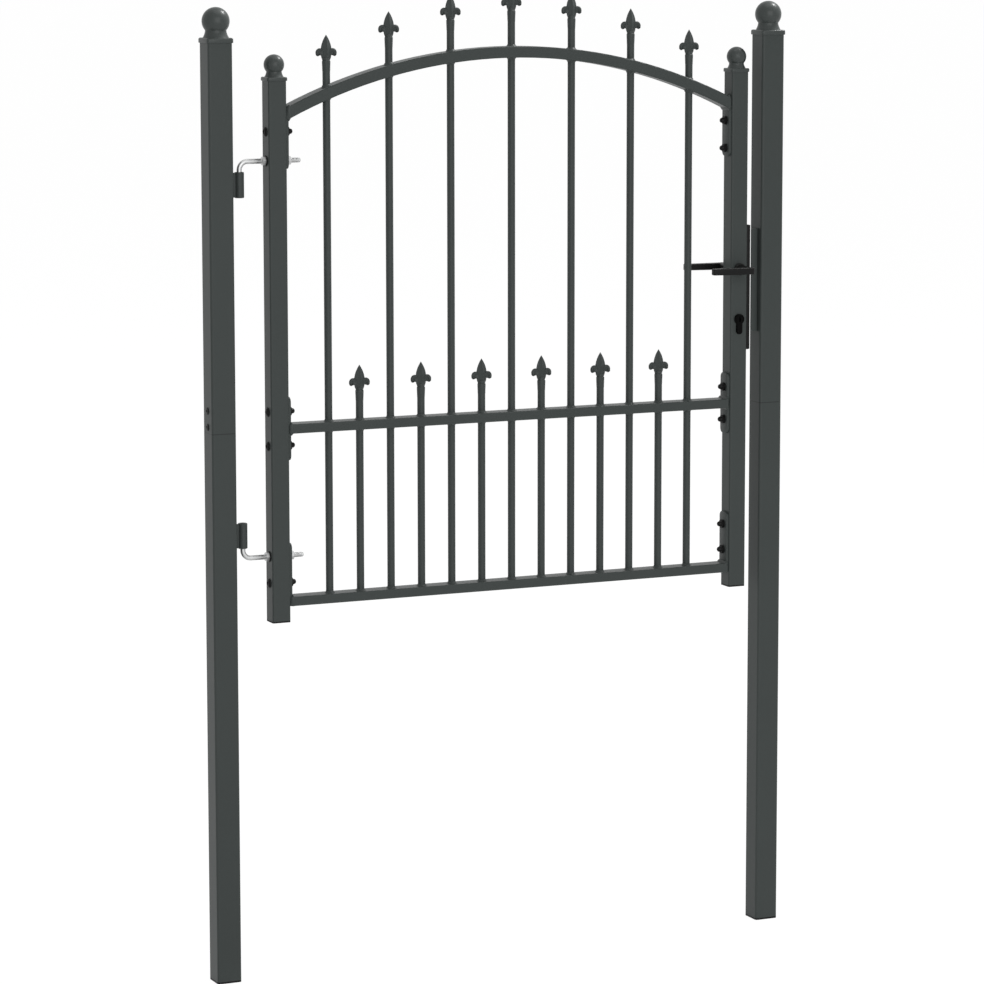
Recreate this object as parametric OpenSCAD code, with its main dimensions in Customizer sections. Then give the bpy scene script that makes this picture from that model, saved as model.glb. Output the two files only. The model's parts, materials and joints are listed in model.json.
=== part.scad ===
// Spiked garden gate: one arched leaf with spear-topped bars, hung between two square posts.
// X runs along the gate from the hinge post to the latch post, Y runs away from the front, Z is up.
// The origin is the centre of the hinge post's foot. All sizes are in millimetres.

/* [Posts] */
// Side of the square post tube
post_side = 40; // [36:1:60]
// Outside corner radius of the post tube
post_corner = 4; // [3:0.5:6]
// Wall of the post tube
post_wall = 1.5; // [1.2:0.1:2.5]
// Distance between the centres of the two posts
post_span = 960; // [860:5:1200]
// Height of the upper tube's top edge
post_top = 1478; // [1440:1:1800]
// Height of the seam between the lower and the upper tube
post_seam = 875; // [750:5:920]
// How far the inner sleeve reaches above the seam
sleeve_up = 60; // [50:5:90]
// How far the inner sleeve reaches below the seam
sleeve_down = 100; // [40:5:160]
// Wall of the inner sleeve
sleeve_wall = 2; // [1.5:0.5:4]
// Height of the first joint bolt above the seam
joint_bolt_rise = 9.5; // [8:0.5:16]
// Distance between the two joint bolts of a post
joint_bolt_pitch = 25.5; // [20:0.5:30]

/* [Caps and plugs] */
// Thickness of a post cap's square flange
post_cap_flange = 8; // [4:1:12]
// How far a post cap's flange stands out past the tube
post_cap_lip = 1.75; // [1:0.25:4]
// Radius of a post cap's ball
post_ball_r = 21.6; // [17:0.2:24]
// Radius of a stile cap's ball
stile_ball_r = 16; // [12:0.5:19]
// Thickness of a stile cap's square flange
stile_cap_flange = 6; // [3:1:10]
// How far a stile cap's flange stands out past the tube
stile_cap_lip = 1.75; // [1:0.25:3]
// Length of the spigot that holds a cap or a plug in its tube
spigot_len = 16; // [10:1:25]
// Thickness of the plug's rim under a post
post_plug_rim = 3; // [1.5:0.5:5]
// Thickness of the plug's rim under a stile
stile_plug_rim = 2.5; // [1.5:0.5:5]
// Clearance on each side of a spigot or sleeve in its tube
spigot_clear = 0.2; // [0.1:0.05:0.4]

/* [Leaf frame] */
// Gap between the hinge post and the hinge stile
hinge_gap = 60; // [55:1:75]
// Gap between the latch stile and the latch post
latch_gap = 23; // [21:1:30]
// Side of the square stile tube
stile_side = 30; // [28:1:36]
// Outside corner radius of the stile tube
stile_corner = 3; // [2.5:0.5:4]
// Wall of the stile tube
stile_wall = 1.5; // [1.2:0.1:2]
// Height of the stiles' lower ends
leaf_bottom = 570; // [540:5:585]
// Height of the stile tubes' top edges
stile_top = 1418.5; // [1400:0.5:1440]
// Depth of the rails, front to back
rail_depth = 30; // [24:1:36]
// Height of the bottom and the middle rail
rail_height = 15; // [12:1:20]
// Outside corner radius of the rails
rail_corner = 2; // [1.8:0.1:3]
// Wall of the rails
rail_wall = 1.2; // [1:0.1:1.5]
// Height of the bottom rail's underside
bottom_rail_z = 595; // [590:1:605]
// Height of the middle rail's underside
middle_rail_z = 868.5; // [850:0.5:900]
// Radius of the arched rail's underside
arch_r = 878; // [800:1:1000]
// Thickness of the arched rail
arch_thick = 18; // [14:1:24]
// Height of the arched rail's underside at its crown
arch_crown = 1448; // [1440:1:1460]

/* [Rail end plates] */
// Length of a plate
plate_len = 100; // [96:1:110]
// Width of a plate
plate_width = 25; // [20:1:28]
// Thickness of a plate
plate_thick = 4; // [3:0.5:6]
// Radius of a plate's corners
plate_corner = 8; // [4:1:10]
// Height of the lower end of the plate that carries the arch
top_plate_z = 1282; // [1278:1:1286]

/* [Bars and spikes] */
// Diameter of the round bars
bar_d = 12; // [10:0.5:14]
// Wall of the round bars
bar_wall = 1; // [0.8:0.1:1.5]
// Distance between neighbouring bars
bar_pitch = 52.75; // [48:0.25:55]
// Clearance round a bar in its rail
bar_clear = 0.1; // [0.05:0.05:0.3]
// Height of the tips of the short spikes
short_tip_z = 970; // [950:1:1010]
// Tip heights of the tall spikes, from the middle outwards
tall_tip_z = [1562, 1548.5, 1523, 1488];
// Widest width of a spear leaf
leaf_width = 18; // [14:1:22]
// Thickness of a spear leaf at its ridge
leaf_thick = 9; // [6:1:11]
// Share of the leaf's width at each depth below the tip
leaf_outline = [[0.37, 5], [0.64, 10], [0.86, 15], [1, 21], [1, 27], [0.89, 33], [0.67, 38.5]];
// Height of a whole spike, from its socket's foot to its tip
spike_len = 57; // [52:1:66]
// Distance from the middle of a spike to the ring centre of a curled lobe
lobe_offset = 9.3; // [8:0.1:11]
// Ring radius of a curled lobe
lobe_ring = 4; // [3.4:0.1:5]
// Radius of the rod that a lobe is curled from
lobe_rod = 3; // [2.4:0.1:3.3]

/* [Hinges] */
// Distance from the post's face to the hinge axis
hinge_standoff = 16; // [13:0.5:20]
// Outside diameter of a hinge barrel
barrel_d = 15; // [13:0.5:20]
// Length of a hinge barrel
barrel_len = 40; // [30:1:60]
// Height of the upper barrel's lower end
upper_barrel_z = 1239; // [1200:1:1245]
// Diameter of the bent hinge bolt
pin_d = 8; // [6:0.5:9]
// Radial running clearance of a hinge pin in its barrel
pin_clear = 0.05; // [0.02:0.01:0.1]
// Bend radius of the hinge bolt's centre line
bend_r = 13; // [10:0.5:15]
// Height of the upper hinge bolt's rod
upper_rod_z = 1295; // [1292:0.5:1300]
// Height of the lower hinge bolt's rod
lower_rod_z = 674.5; // [670:0.5:676]
// Straight pin between the bend and the barrel's mouth
pin_show = 3; // [2:0.5:8]
// How far the hinge bolt's thread stands out past the stile
thread_out = 27; // [20:1:40]

/* [Fasteners] */
// Diameter of the frame bolts
bolt_d = 8; // [6:0.5:9]
// Radial clearance of the bolts in their holes
bolt_clear = 0.2; // [0.1:0.05:0.4]
// Diameter of a bolt's round head
head_d = 15; // [12:0.5:16]
// Height of a bolt's round head
head_h = 3.4; // [2.6:0.2:6]
// Diameter of a joint bolt's flat head
joint_head_d = 12; // [10:0.5:14]
// Height of a joint bolt's flat head
joint_head_h = 1.6; // [1.2:0.2:4]
// Width of a nut across its flats
nut_af = 13; // [12:0.5:15]
// Height of a hinge bolt's nut
nut_h = 6.5; // [5:0.5:8]
// Height of the hexagon of a dome nut
dome_hex_h = 5; // [4:0.5:6]
// Height of a dome nut over its dome
dome_h = 11; // [10:0.5:12]
// Height of the lower bolt through the bottom plates
low_bolt_z = 632; // [626:1:636]
// Height of the upper bolt through the top plates
high_bolt_z = 1340; // [1335:1:1344]
// Half the distance between the bolts of a middle plate
middle_bolt_reach = 27; // [24:1:30]

/* [Lock] */
// Height of the lever spindle
spindle_z = 1097; // [1090:1:1100]
// Height of the cylinder's round part
cylinder_z = 1014.7; // [1008:0.1:1020]
// Height of the forend strip's lower end
forend_z = 964; // [955:1:970]
// Length of the forend strip
forend_len = 205; // [200:1:215]
// Width of the forend strip
forend_width = 24; // [20:1:26]
// Thickness of the forend strip
forend_thick = 7; // [5:0.5:8]
// Depth of the lock case behind the forend strip
case_depth = 25; // [24:0.5:27]
// Width of the lock case
case_width = 18; // [14:1:20]
// Distance of the lock case's ends from the forend strip's ends
case_inset = 12; // [8:1:20]
// Side of the square spindle
spindle_side = 8; // [7:0.5:9]
// Radius of the follower that carries the spindle in the lock case
follower_r = 8; // [7:0.2:9]
// Running clearance of the follower in the lock case
follower_clear = 0.05; // [0.02:0.01:0.1]
// Radius of the spindle's hole in the stile
spindle_hole_r = 9; // [8:0.5:10]
// Length of the cylinder, through the stile
cylinder_len = 38; // [34:1:44]
// Radius of the cylinder's round part
cylinder_r = 8.5; // [8:0.1:9]
// Overall height of the cylinder's section
cylinder_h = 33; // [30:1:35]
// Width of the cylinder's tail
cylinder_tail = 10; // [9:0.5:11]
// Clearance round the cylinder
cylinder_clear = 0.2; // [0.1:0.1:0.5]
// Height of the latch bolt's middle above the spindle
latch_rise = 24; // [23:1:28]
// Height of the dead bolt's middle above the cylinder
dead_rise = 40; // [36:1:44]
// Height of the latch bolt
latch_h = 24; // [18:1:26]
// Height of the dead bolt
dead_h = 30; // [22:1:34]
// Thickness of the lock's bolts, front to back
lock_bolt_w = 10; // [8:1:12]
// Length of the lock's bolts in the case
lock_bolt_len = 14; // [10:1:16]

/* [Lever handle] */
// Distance from the spindle to the lever's far end
lever_reach = 67; // [60:0.5:80]
// Height of the lever's arm beside its neck
lever_h = 11; // [10:0.5:14]
// Height of the lever's arm at its far end
lever_end_h = 8.5; // [6:0.5:10]
// Distance from the far end to where the arm starts to narrow
lever_taper = 42; // [20:1:50]
// Thickness of the lever's arm
lever_t = 11; // [9:0.5:14]
// Distance of the lever's front face from the gate's mid-plane
lever_out = 56; // [52:1:70]
// Radius of the arm's rounded corner in front of the spindle
lever_corner = 7; // [7:0.5:11]
// Radius of the lever's neck beside the stile
neck_foot_r = 10; // [9:0.5:12]
// Radius of the lever's neck where it meets the arm
neck_top_r = 6.5; // [6:0.5:8]
// Gap between the neck and the stile
neck_gap = 1; // [0.5:0.5:2]
// Depth of the spindle's socket in a lever
socket_depth = 20; // [14:1:24]
// Clearance on each side of the spindle in its socket
socket_clear = 0.1; // [0.05:0.05:0.2]

/* [Strike plate] */
// Height of the strike plate's lower end
strike_z = 993; // [985:1:1000]
// Length of the strike plate
strike_len = 169; // [160:1:180]
// Thickness of the strike plate
strike_t = 1.5; // [1:0.5:2.5]
// How far the strike plate's lip stands out from the post
strike_lip = 12; // [8:0.5:12.5]
// Distance of the lip's front face in front of the gate's mid-plane
strike_front = 8; // [7:0.5:10]
// Distance of the strike plate's back edge behind the gate's mid-plane
strike_back = 14; // [11:1:16]
// Clearance round a lock bolt in its keep
keep_clear = 2; // [1:0.5:3]

/* [Hidden] */
$fn = 48;

// A small length that lets a cutting shape run past the face it cuts
over = 1;

paint = [0.27, 0.29, 0.28];
black = [0.08, 0.08, 0.08];
zinc = [0.80, 0.81, 0.82];
plastic = [0.05, 0.05, 0.05];

// Posts and stiles
post_half = post_side / 2;
stile_half = stile_side / 2;
post_bore = post_side - 2 * post_wall;
hinge_stile_x = post_half + hinge_gap + stile_half;
latch_stile_x = post_span - post_half - latch_gap - stile_half;
leaf_mid_x = (hinge_stile_x + latch_stile_x) / 2;

// Rails run between the faces of the end plates
rail_from = hinge_stile_x + stile_half + plate_thick;
rail_to = latch_stile_x - stile_half - plate_thick;
rail_len = rail_to - rail_from;
arch_z = arch_crown - arch_r;
joint_bolt_z = [post_seam + joint_bolt_rise, post_seam + joint_bolt_rise + joint_bolt_pitch];
arch_out_r = arch_r + arch_thick;

// Bars: seven tall ones and the six short ones between them
tall_count = 7;
short_count = tall_count - 1;
function tall_x(i) = leaf_mid_x + (i - (tall_count - 1) / 2) * 2 * bar_pitch;
function short_x(i) = leaf_mid_x + (i - (short_count - 1) / 2) * 2 * bar_pitch;
function tall_tip(i) = tall_tip_z[abs(i - (tall_count - 1) / 2)];
bar_r = bar_d / 2;
bar_foot_z = bottom_rail_z + rail_wall;
hole_r = bar_r + bar_clear;

// Plates and their bolts
middle_z = middle_rail_z + rail_height / 2;
plate_z = [bottom_rail_z, middle_z - plate_len / 2, top_plate_z];
bolt_hole_r = bolt_d / 2 + bolt_clear;
pin_hole_r = pin_d / 2 + bolt_clear;
plain_bolt_z = [low_bolt_z, middle_z - middle_bolt_reach, middle_z + middle_bolt_reach, high_bolt_z];
rod_z = [lower_rod_z, upper_rod_z];

// Nuts: clearance round their bolts, and the solid crown over a dome nut's blind hole
nut_clear = 0.05;
dome_crown = 4;

// Hinges
hinge_x = post_half + hinge_standoff;
lower_barrel_top = lower_rod_z + bend_r + pin_show + barrel_len;
barrel_z = [lower_barrel_top - barrel_len, upper_barrel_z];
pin_end_gap = 3;
web_t = 5;
web_inset = 3;

// Lock
latch_z = spindle_z + latch_rise;
dead_z = cylinder_z + dead_rise;
stile_face_x = latch_stile_x + stile_half;
forend_face_x = stile_face_x + forend_thick;
case_z = forend_z + case_inset;
case_len = forend_len - 2 * case_inset;
case_clear = 0.3;
pocket_clear = 0.2;
post_face_x = post_span - post_half;

// 2D outline of a square with rounded corners
module rounded_rect(w, h, r) {
    square([w - 2 * r, h], center = true);
    square([w, h - 2 * r], center = true);
    for (sx = [-1, 1], sy = [-1, 1])
        translate([sx * (w / 2 - r), sy * (h / 2 - r)]) circle(r);
}

// 2D section of a rectangular tube
module tube_section(w, h, r, wall) {
    difference() {
        rounded_rect(w, h, r);
        rounded_rect(w - 2 * wall, h - 2 * wall, bore_corner(r, wall));
    }
}
function bore_corner(corner, wall) = corner - wall / 2;

// Spigot that fits in a square tube, standing on the origin
module spigot(side, corner, wall, len) {
    inner = side - 2 * wall - 2 * spigot_clear;
    linear_extrude(len) rounded_rect(inner, inner, bore_corner(corner, wall));
}

// Cylinders along X and Y
module rod_x(r, len) { rotate([0, 90, 0]) cylinder(r = r, h = len); }
module rod_y(r, len) { rotate([-90, 0, 0]) cylinder(r = r, h = len); }

module post_tube(x, z0, z1) {
    translate([x, 0, z0]) linear_extrude(z1 - z0)
        tube_section(post_side, post_side, post_corner, post_wall);
}

// Holes for a post's two joint bolts; side is -1 where the outer face looks to -X, and 1 to +X
module joint_bolt_holes(x, side) {
    from = side < 0 ? -post_half - over : 0;
    for (z = joint_bolt_z)
        translate([x + from, 0, z]) rod_x(bolt_hole_r, post_half + over);
}

module hinge_post_lower() { color(paint) post_tube(0, post_plug_rim, post_seam); }
module latch_post_lower() { color(paint) post_tube(post_span, post_plug_rim, post_seam); }

module hinge_post_upper() {
    color(paint) difference() {
        post_tube(0, post_seam, post_top);
        joint_bolt_holes(0, -1);
    }
}

module latch_post_upper() {
    color(paint) difference() {
        post_tube(post_span, post_seam, post_top);
        joint_bolt_holes(post_span, 1);
        keep_cuts(post_face_x - over, post_wall + 2 * over);
    }
}

// One sleeve in each post holds the upper tube on the lower one
module post_sleeves() {
    side = post_bore - 2 * spigot_clear;
    color(paint) for (post = [[0, -1], [post_span, 1]])
        difference() {
            translate([post[0], 0, post_seam - sleeve_down])
                linear_extrude(sleeve_down + sleeve_up)
                    tube_section(side, side, bore_corner(post_corner, post_wall), sleeve_wall);
            joint_bolt_holes(post[0], post[1]);
        }
}

// Round-headed bolt that lies along X with its head's seat at the origin and its shank towards +X
module button_bolt(shank, d, h) {
    rod_x(bolt_d / 2, shank);
    translate([-h, 0, 0]) rotate([0, 90, 0]) rotate_extrude() intersection() {
        translate([0, head_crown_r(d, h)]) circle(head_crown_r(d, h));
        square([d / 2, h]);
    }
}
function head_crown_r(d, h) = (pow(d / 2, 2) + pow(h, 2)) / (2 * h) * 1.06;

module post_joint_bolts() {
    shank = post_wall + spigot_clear + sleeve_wall + 6;
    color(black) for (z = joint_bolt_z) {
        translate([-post_half, 0, z]) button_bolt(shank, joint_head_d, joint_head_h);
        translate([post_span + post_half, 0, z]) mirror([1, 0, 0])
            button_bolt(shank, joint_head_d, joint_head_h);
    }
}

// Ball cap: spigot, square flange, waisted neck and ball
module ball_cap(side, corner, wall, flange, lip, ball_r) {
    wide = side + 2 * lip;
    neck_r = ball_r * 0.73;
    foot_r = ball_r * 0.9;
    neck_z = flange + ball_r * 0.49;
    ball_z = neck_z + sqrt(pow(ball_r, 2) - pow(neck_r, 2));
    linear_extrude(flange) rounded_rect(wide, wide, corner + lip / 2);
    translate([0, 0, -spigot_len]) spigot(side, corner, wall, spigot_len + over);
    translate([0, 0, flange]) cylinder(r1 = foot_r, r2 = neck_r, h = neck_z - flange);
    translate([0, 0, ball_z]) sphere(ball_r, $fn = 64);
}

module post_cap(x) {
    translate([x, 0, post_top])
        ball_cap(post_side, post_corner, post_wall, post_cap_flange, post_cap_lip, post_ball_r);
}
module hinge_post_cap() { color(paint) post_cap(0); }
module latch_post_cap() { color(paint) post_cap(post_span); }

module stile_cap(x) {
    translate([x, 0, stile_top])
        ball_cap(stile_side, stile_corner, stile_wall, stile_cap_flange, stile_cap_lip, stile_ball_r);
}
module hinge_stile_cap() { color(paint) stile_cap(hinge_stile_x); }
module latch_stile_cap() { color(paint) stile_cap(latch_stile_x); }

// Plug that closes the foot of a tube
module foot_plug(side, corner, wall, rim) {
    linear_extrude(rim) rounded_rect(side, side, corner);
    spigot(side, corner, wall, rim + spigot_len);
}
module post_foot_plugs() {
    color(plastic) for (x = [0, post_span])
        translate([x, 0, 0])
            foot_plug(post_side, post_corner, post_wall, post_plug_rim);
}
module stile_foot_plugs() {
    color(plastic) for (x = [hinge_stile_x, latch_stile_x])
        translate([x, 0, leaf_bottom])
            foot_plug(stile_side, stile_corner, stile_wall, stile_plug_rim);
}

// Barrel with the flat web that is welded to the post
module hinge_barrel(z) {
    difference() {
        translate([0, 0, z]) {
            translate([hinge_x, 0, 0]) cylinder(d = barrel_d, h = barrel_len);
            translate([post_half, -web_t / 2, web_inset])
                cube([hinge_standoff, web_t, barrel_len - 2 * web_inset]);
        }
        translate([hinge_x, 0, z - over])
            cylinder(r = pin_d / 2 + pin_clear, h = barrel_len + 2 * over);
    }
}
module upper_hinge_barrel() { color(paint) hinge_barrel(barrel_z[1]); }
module lower_hinge_barrel() { color(paint) hinge_barrel(barrel_z[0]); }

// The two keeps for the lock's bolts, as cutting blocks along X
module keep_cuts(x, len) {
    for (keep = [[latch_z, latch_h], [dead_z, dead_h]])
        translate([x, -lock_bolt_w / 2 - keep_clear / 2, keep[0] - keep[1] / 2 - keep_clear])
            cube([len, lock_bolt_w + 1.5 * keep_clear, keep[1] + 2 * keep_clear]);
}

// Angle plate on the latch post: a flat leg with the keeps and a lip towards the gate
module strike_plate() {
    color(paint) difference() {
        union() {
            translate([post_face_x - strike_t, -strike_front, strike_z])
                cube([strike_t, strike_front + strike_back, strike_len]);
            translate([post_face_x - strike_lip, -strike_front, strike_z])
                cube([strike_lip, strike_t, strike_len]);
        }
        keep_cuts(post_face_x - strike_t - over, strike_t + 2 * over);
    }
}

module stile_tube(x) {
    foot_z = leaf_bottom + stile_plug_rim;
    translate([x, 0, foot_z]) linear_extrude(stile_top - foot_z)
        tube_section(stile_side, stile_side, stile_corner, stile_wall);
}

module stile_hole(x, z, r) { translate([x - stile_half - over, 0, z]) rod_x(r, stile_side + 2 * over); }

module hinge_stile() {
    color(paint) difference() {
        stile_tube(hinge_stile_x);
        for (z = plain_bolt_z) stile_hole(hinge_stile_x, z, bolt_hole_r);
        for (z = rod_z) stile_hole(hinge_stile_x, z, pin_hole_r);
    }
}

// 2D section of the profile cylinder, its round part at the origin
module cylinder_section(grow) {
    circle(cylinder_r + grow);
    tail_r = cylinder_tail / 2 + grow;
    tail_drop = cylinder_h - cylinder_r - cylinder_tail / 2;
    translate([-tail_r, -tail_drop]) square([2 * tail_r, tail_drop]);
    translate([0, -tail_drop]) circle(tail_r);
}

// Profile cylinder along Y, centred on the gate's mid-plane
module profile_body(len, grow) {
    translate([latch_stile_x, len / 2, cylinder_z]) rotate([90, 0, 0]) linear_extrude(len)
        cylinder_section(grow);
}

module latch_stile() {
    color(paint) difference() {
        stile_tube(latch_stile_x);
        for (z = plain_bolt_z) stile_hole(latch_stile_x, z, bolt_hole_r);
        for (z = rod_z) stile_hole(latch_stile_x, z, bolt_hole_r);
        translate([latch_stile_x, -case_width / 2 - case_clear, case_z - case_clear])
            cube([stile_side, case_width + 2 * case_clear, case_len + 2 * case_clear]);
        translate([latch_stile_x, -stile_half - over, spindle_z])
            rod_y(spindle_hole_r, stile_side + 2 * over);
        profile_body(stile_side + 2 * over, cylinder_clear);
    }
}

// Straight rail between the plates, with holes for every bar
module straight_rail(z, holes_through) {
    difference() {
        translate([rail_from, 0, z + rail_height / 2]) rotate([90, 0, 90]) linear_extrude(rail_len)
            tube_section(rail_depth, rail_height, rail_corner, rail_wall);
        for (i = [0 : tall_count - 1]) rail_hole(tall_x(i), z, holes_through);
        for (i = [0 : short_count - 1]) rail_hole(short_x(i), z, holes_through);
    }
}
module rail_hole(x, z, through) {
    low = through ? z - over : z + rail_height / 2;
    translate([x, 0, low]) cylinder(r = hole_r, h = z + rail_height + over - low);
}
module bottom_rail() { color(paint) straight_rail(bottom_rail_z, false); }
module middle_rail() { color(paint) straight_rail(middle_rail_z, true); }

// Arched rail: part of a ring about an axis along Y, cut off at the end plates
module arched_rail() {
    half_angle = asin(rail_len / 2 / arch_r) + 2;
    color(paint) difference() {
        intersection() {
            translate([leaf_mid_x, 0, arch_z]) rotate([90, 0, 0])
                rotate([0, 0, 90 - half_angle]) rotate_extrude(angle = 2 * half_angle, $fn = 360)
                    translate([arch_r + arch_thick / 2, 0])
                        tube_section(arch_thick, rail_depth, rail_corner, rail_wall);
            translate([rail_from, -rail_depth, arch_z])
                cube([rail_len, 2 * rail_depth, arch_out_r + over]);
        }
        for (i = [0 : tall_count - 1])
            translate([tall_x(i), 0, arch_z + arch_r / 2]) cylinder(r = hole_r, h = arch_r);
    }
}

// Plate on a stile's face at x, its body on the side the sign gives; each hole is a height and a radius
module end_plate(x, side, z, holes) {
    translate([x, 0, 0]) mirror([side > 0 ? 0 : 1, 0, 0]) difference() {
        translate([0, 0, z + plate_len / 2]) rotate([90, 0, 90])
            linear_extrude(plate_thick) rounded_rect(plate_width, plate_len, plate_corner);
        for (hole = holes)
            translate([-over, 0, hole[0]]) rod_x(hole[1], plate_thick + 2 * over);
    }
}

// Three plates on one stile; rod_r is the radius of the holes that take the hinge bolts
module stile_plates(x, side, rod_r) {
    end_plate(x, side, plate_z[0], [[plain_bolt_z[0], bolt_hole_r], [rod_z[0], rod_r]]);
    end_plate(x, side, plate_z[1], [[plain_bolt_z[1], bolt_hole_r], [plain_bolt_z[2], bolt_hole_r]]);
    end_plate(x, side, plate_z[2], [[rod_z[1], rod_r], [plain_bolt_z[3], bolt_hole_r]]);
}
module rail_end_plates() {
    color(paint) {
        stile_plates(hinge_stile_x + stile_half, 1, pin_hole_r);
        stile_plates(latch_stile_x - stile_half, -1, bolt_hole_r);
    }
}

// Round tube bar from the bottom rail's floor up to the foot of its spike
module bar(x, tip) {
    translate([x, 0, bar_foot_z]) difference() {
        cylinder(d = bar_d, h = tip - spike_len - bar_foot_z);
        translate([0, 0, over]) cylinder(d = bar_d - 2 * bar_wall, h = tip);
    }
}
module tall_bar(n) { color(paint) bar(tall_x(n - 1), tall_tip(n - 1)); }
module short_bar(n) { color(paint) bar(short_x(n - 1), short_tip_z); }

// Ridged blade of diamond section with its tip at the origin
module spear_leaf() {
    n = len(leaf_outline);
    ring = [[leaf_width / 2, 0], [0, leaf_thick / 2], [-leaf_width / 2, 0], [0, -leaf_thick / 2]];
    points = concat(
        [[0, 0, 0]],
        [for (row = leaf_outline, p = ring) [row[0] * p[0], row[0] * p[1], -row[1]]]
    );
    top = [for (k = [0 : 3]) [0, 1 + (k + 1) % 4, 1 + k]];
    sides = [
        for (j = [0 : n - 2], k = [0 : 3])
            let (a = 1 + 4 * j + k, b = 1 + 4 * j + (k + 1) % 4)
                each [[a, b, b + 4], [a, b + 4, a + 4]]
    ];
    last = 4 * n - 3;
    foot = [[last, last + 1, last + 2], [last, last + 2, last + 3]];
    polyhedron(points, concat(top, sides, foot));
}

// One curled side lobe: a bent rod that rises out of the leaf, turns over and ends in a bead
module side_lobe() {
    lobe_z = -28.5;
    bead_r = lobe_rod * 1.08;
    translate([lobe_offset, 0, lobe_z]) rotate([90, 0, 0]) {
        rotate([0, 0, -15]) {
            rotate_extrude(angle = 165, $fn = 36) translate([lobe_ring, 0]) circle(lobe_rod, $fn = 24);
            translate([lobe_ring, 0]) sphere(bead_r, $fn = 24);
        }
    }
}

// Whole spike with its tip at the origin: leaf, two lobes, neck, socket and the peg inside the bar
module spike() {
    neck_r = bar_r * 0.97;
    socket_r = bar_r * 1.11;
    socket_z = -41;
    spear_leaf();
    for (m = [0, 1]) mirror([m, 0, 0]) side_lobe();
    translate([0, 0, socket_z]) cylinder(r = neck_r, h = 5);
    translate([0, 0, -spike_len]) cylinder(r1 = bar_r * 1.03, r2 = socket_r, h = spike_len + socket_z);
    translate([0, 0, -spike_len - spigot_len])
        cylinder(r = bar_r - bar_wall - spigot_clear, h = spigot_len + over);
}
module tall_spikes() {
    color(paint) for (i = [0 : tall_count - 1]) translate([tall_x(i), 0, tall_tip(i)]) spike();
}
module short_spikes() {
    color(paint) for (i = [0 : short_count - 1]) translate([short_x(i), 0, short_tip_z]) spike();
}

// Bolts from the outside of each stile to the dome nuts on the plates
module frame_bolts() {
    bolt_reach = stile_side + plate_thick + dome_h - dome_crown - nut_clear;
    color(black) {
        for (z = plain_bolt_z)
            translate([hinge_stile_x - stile_half, 0, z]) button_bolt(bolt_reach, head_d, head_h);
        for (z = concat(plain_bolt_z, rod_z))
            translate([latch_stile_x + stile_half, 0, z]) mirror([1, 0, 0])
                button_bolt(bolt_reach, head_d, head_h);
    }
}

// Dome nut with its seat at the origin and its dome towards +X
module dome_nut() {
    dome_r = nut_af * 0.36;
    rotate([0, 90, 0]) difference() {
        union() {
            cylinder(d = nut_af / cos(30), h = dome_hex_h, $fn = 6);
            rotate_extrude() intersection() {
                translate([0, dome_h - dome_r]) circle(dome_r);
                square([dome_r, dome_h]);
            }
        }
        translate([0, 0, -over]) cylinder(r = bolt_d / 2 + nut_clear, h = dome_h - dome_crown + over);
    }
}
module frame_nuts() {
    color(black) {
        for (z = plain_bolt_z) translate([rail_from, 0, z]) dome_nut();
        for (z = concat(plain_bolt_z, rod_z)) translate([rail_to, 0, z]) mirror([1, 0, 0]) dome_nut();
    }
}

// Bent hinge bolt: rod along X, a quarter bend and a pin; down is 1 where the pin points down
module hinge_bolt(z, down) {
    pin_len = pin_show + barrel_len - pin_end_gap;
    rod_len = hinge_stile_x + stile_half + thread_out - hinge_x - bend_r;
    translate([hinge_x, 0, z]) mirror([0, 0, 1 - down]) {
        translate([bend_r, 0, 0]) rod_x(pin_d / 2, rod_len);
        translate([bend_r, 0, -bend_r]) rotate([90, 0, 0]) rotate([0, 0, 90])
            rotate_extrude(angle = 90) translate([bend_r, 0]) circle(pin_d / 2);
        translate([0, 0, -bend_r - pin_len]) cylinder(r = pin_d / 2, h = pin_len);
    }
}
module upper_hinge_bolt() { color(zinc) hinge_bolt(rod_z[1], 1); }
module lower_hinge_bolt() { color(zinc) hinge_bolt(rod_z[0], 0); }

// Plain hexagon nuts on the hinge bolts, one on each side of the stile
module hex_nut() {
    difference() {
        rotate([0, 90, 0]) cylinder(d = nut_af / cos(30), h = nut_h, $fn = 6);
        translate([-over, 0, 0]) rod_x(pin_d / 2 + nut_clear, nut_h + 2 * over);
    }
}
module hinge_nuts() {
    color(zinc) for (z = rod_z) {
        translate([hinge_stile_x - stile_half - nut_h, 0, z]) hex_nut();
        translate([rail_from, 0, z]) hex_nut();
    }
}

// One lock bolt, drawn back flush with the forend
module lock_bolt(z, h) {
    translate([forend_face_x - lock_bolt_len, -lock_bolt_w / 2, z - h / 2])
        cube([lock_bolt_len, lock_bolt_w, h]);
}

// Pocket for one lock bolt, open at the forend's face
module lock_pocket(z, h) {
    translate([forend_face_x - lock_bolt_len, -lock_bolt_w / 2 - pocket_clear, z - h / 2 - pocket_clear])
        cube([lock_bolt_len + over, lock_bolt_w + 2 * pocket_clear, h + 2 * pocket_clear]);
}

module lock_case() {
    color(black) difference() {
        union() {
            translate([stile_face_x, -forend_width / 2, forend_z])
                cube([forend_thick, forend_width, forend_len]);
            translate([stile_face_x - case_depth, -case_width / 2, case_z])
                cube([case_depth + over, case_width, case_len]);
        }
        translate([latch_stile_x, -case_width, spindle_z])
            rod_y(follower_r + follower_clear, 2 * case_width);
        profile_body(2 * case_width, cylinder_clear);
        lock_pocket(latch_z, latch_h);
        lock_pocket(dead_z, dead_h);
    }
}
module lock_bolts() {
    color(zinc) {
        lock_bolt(latch_z, latch_h);
        lock_bolt(dead_z, dead_h);
    }
}

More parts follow.
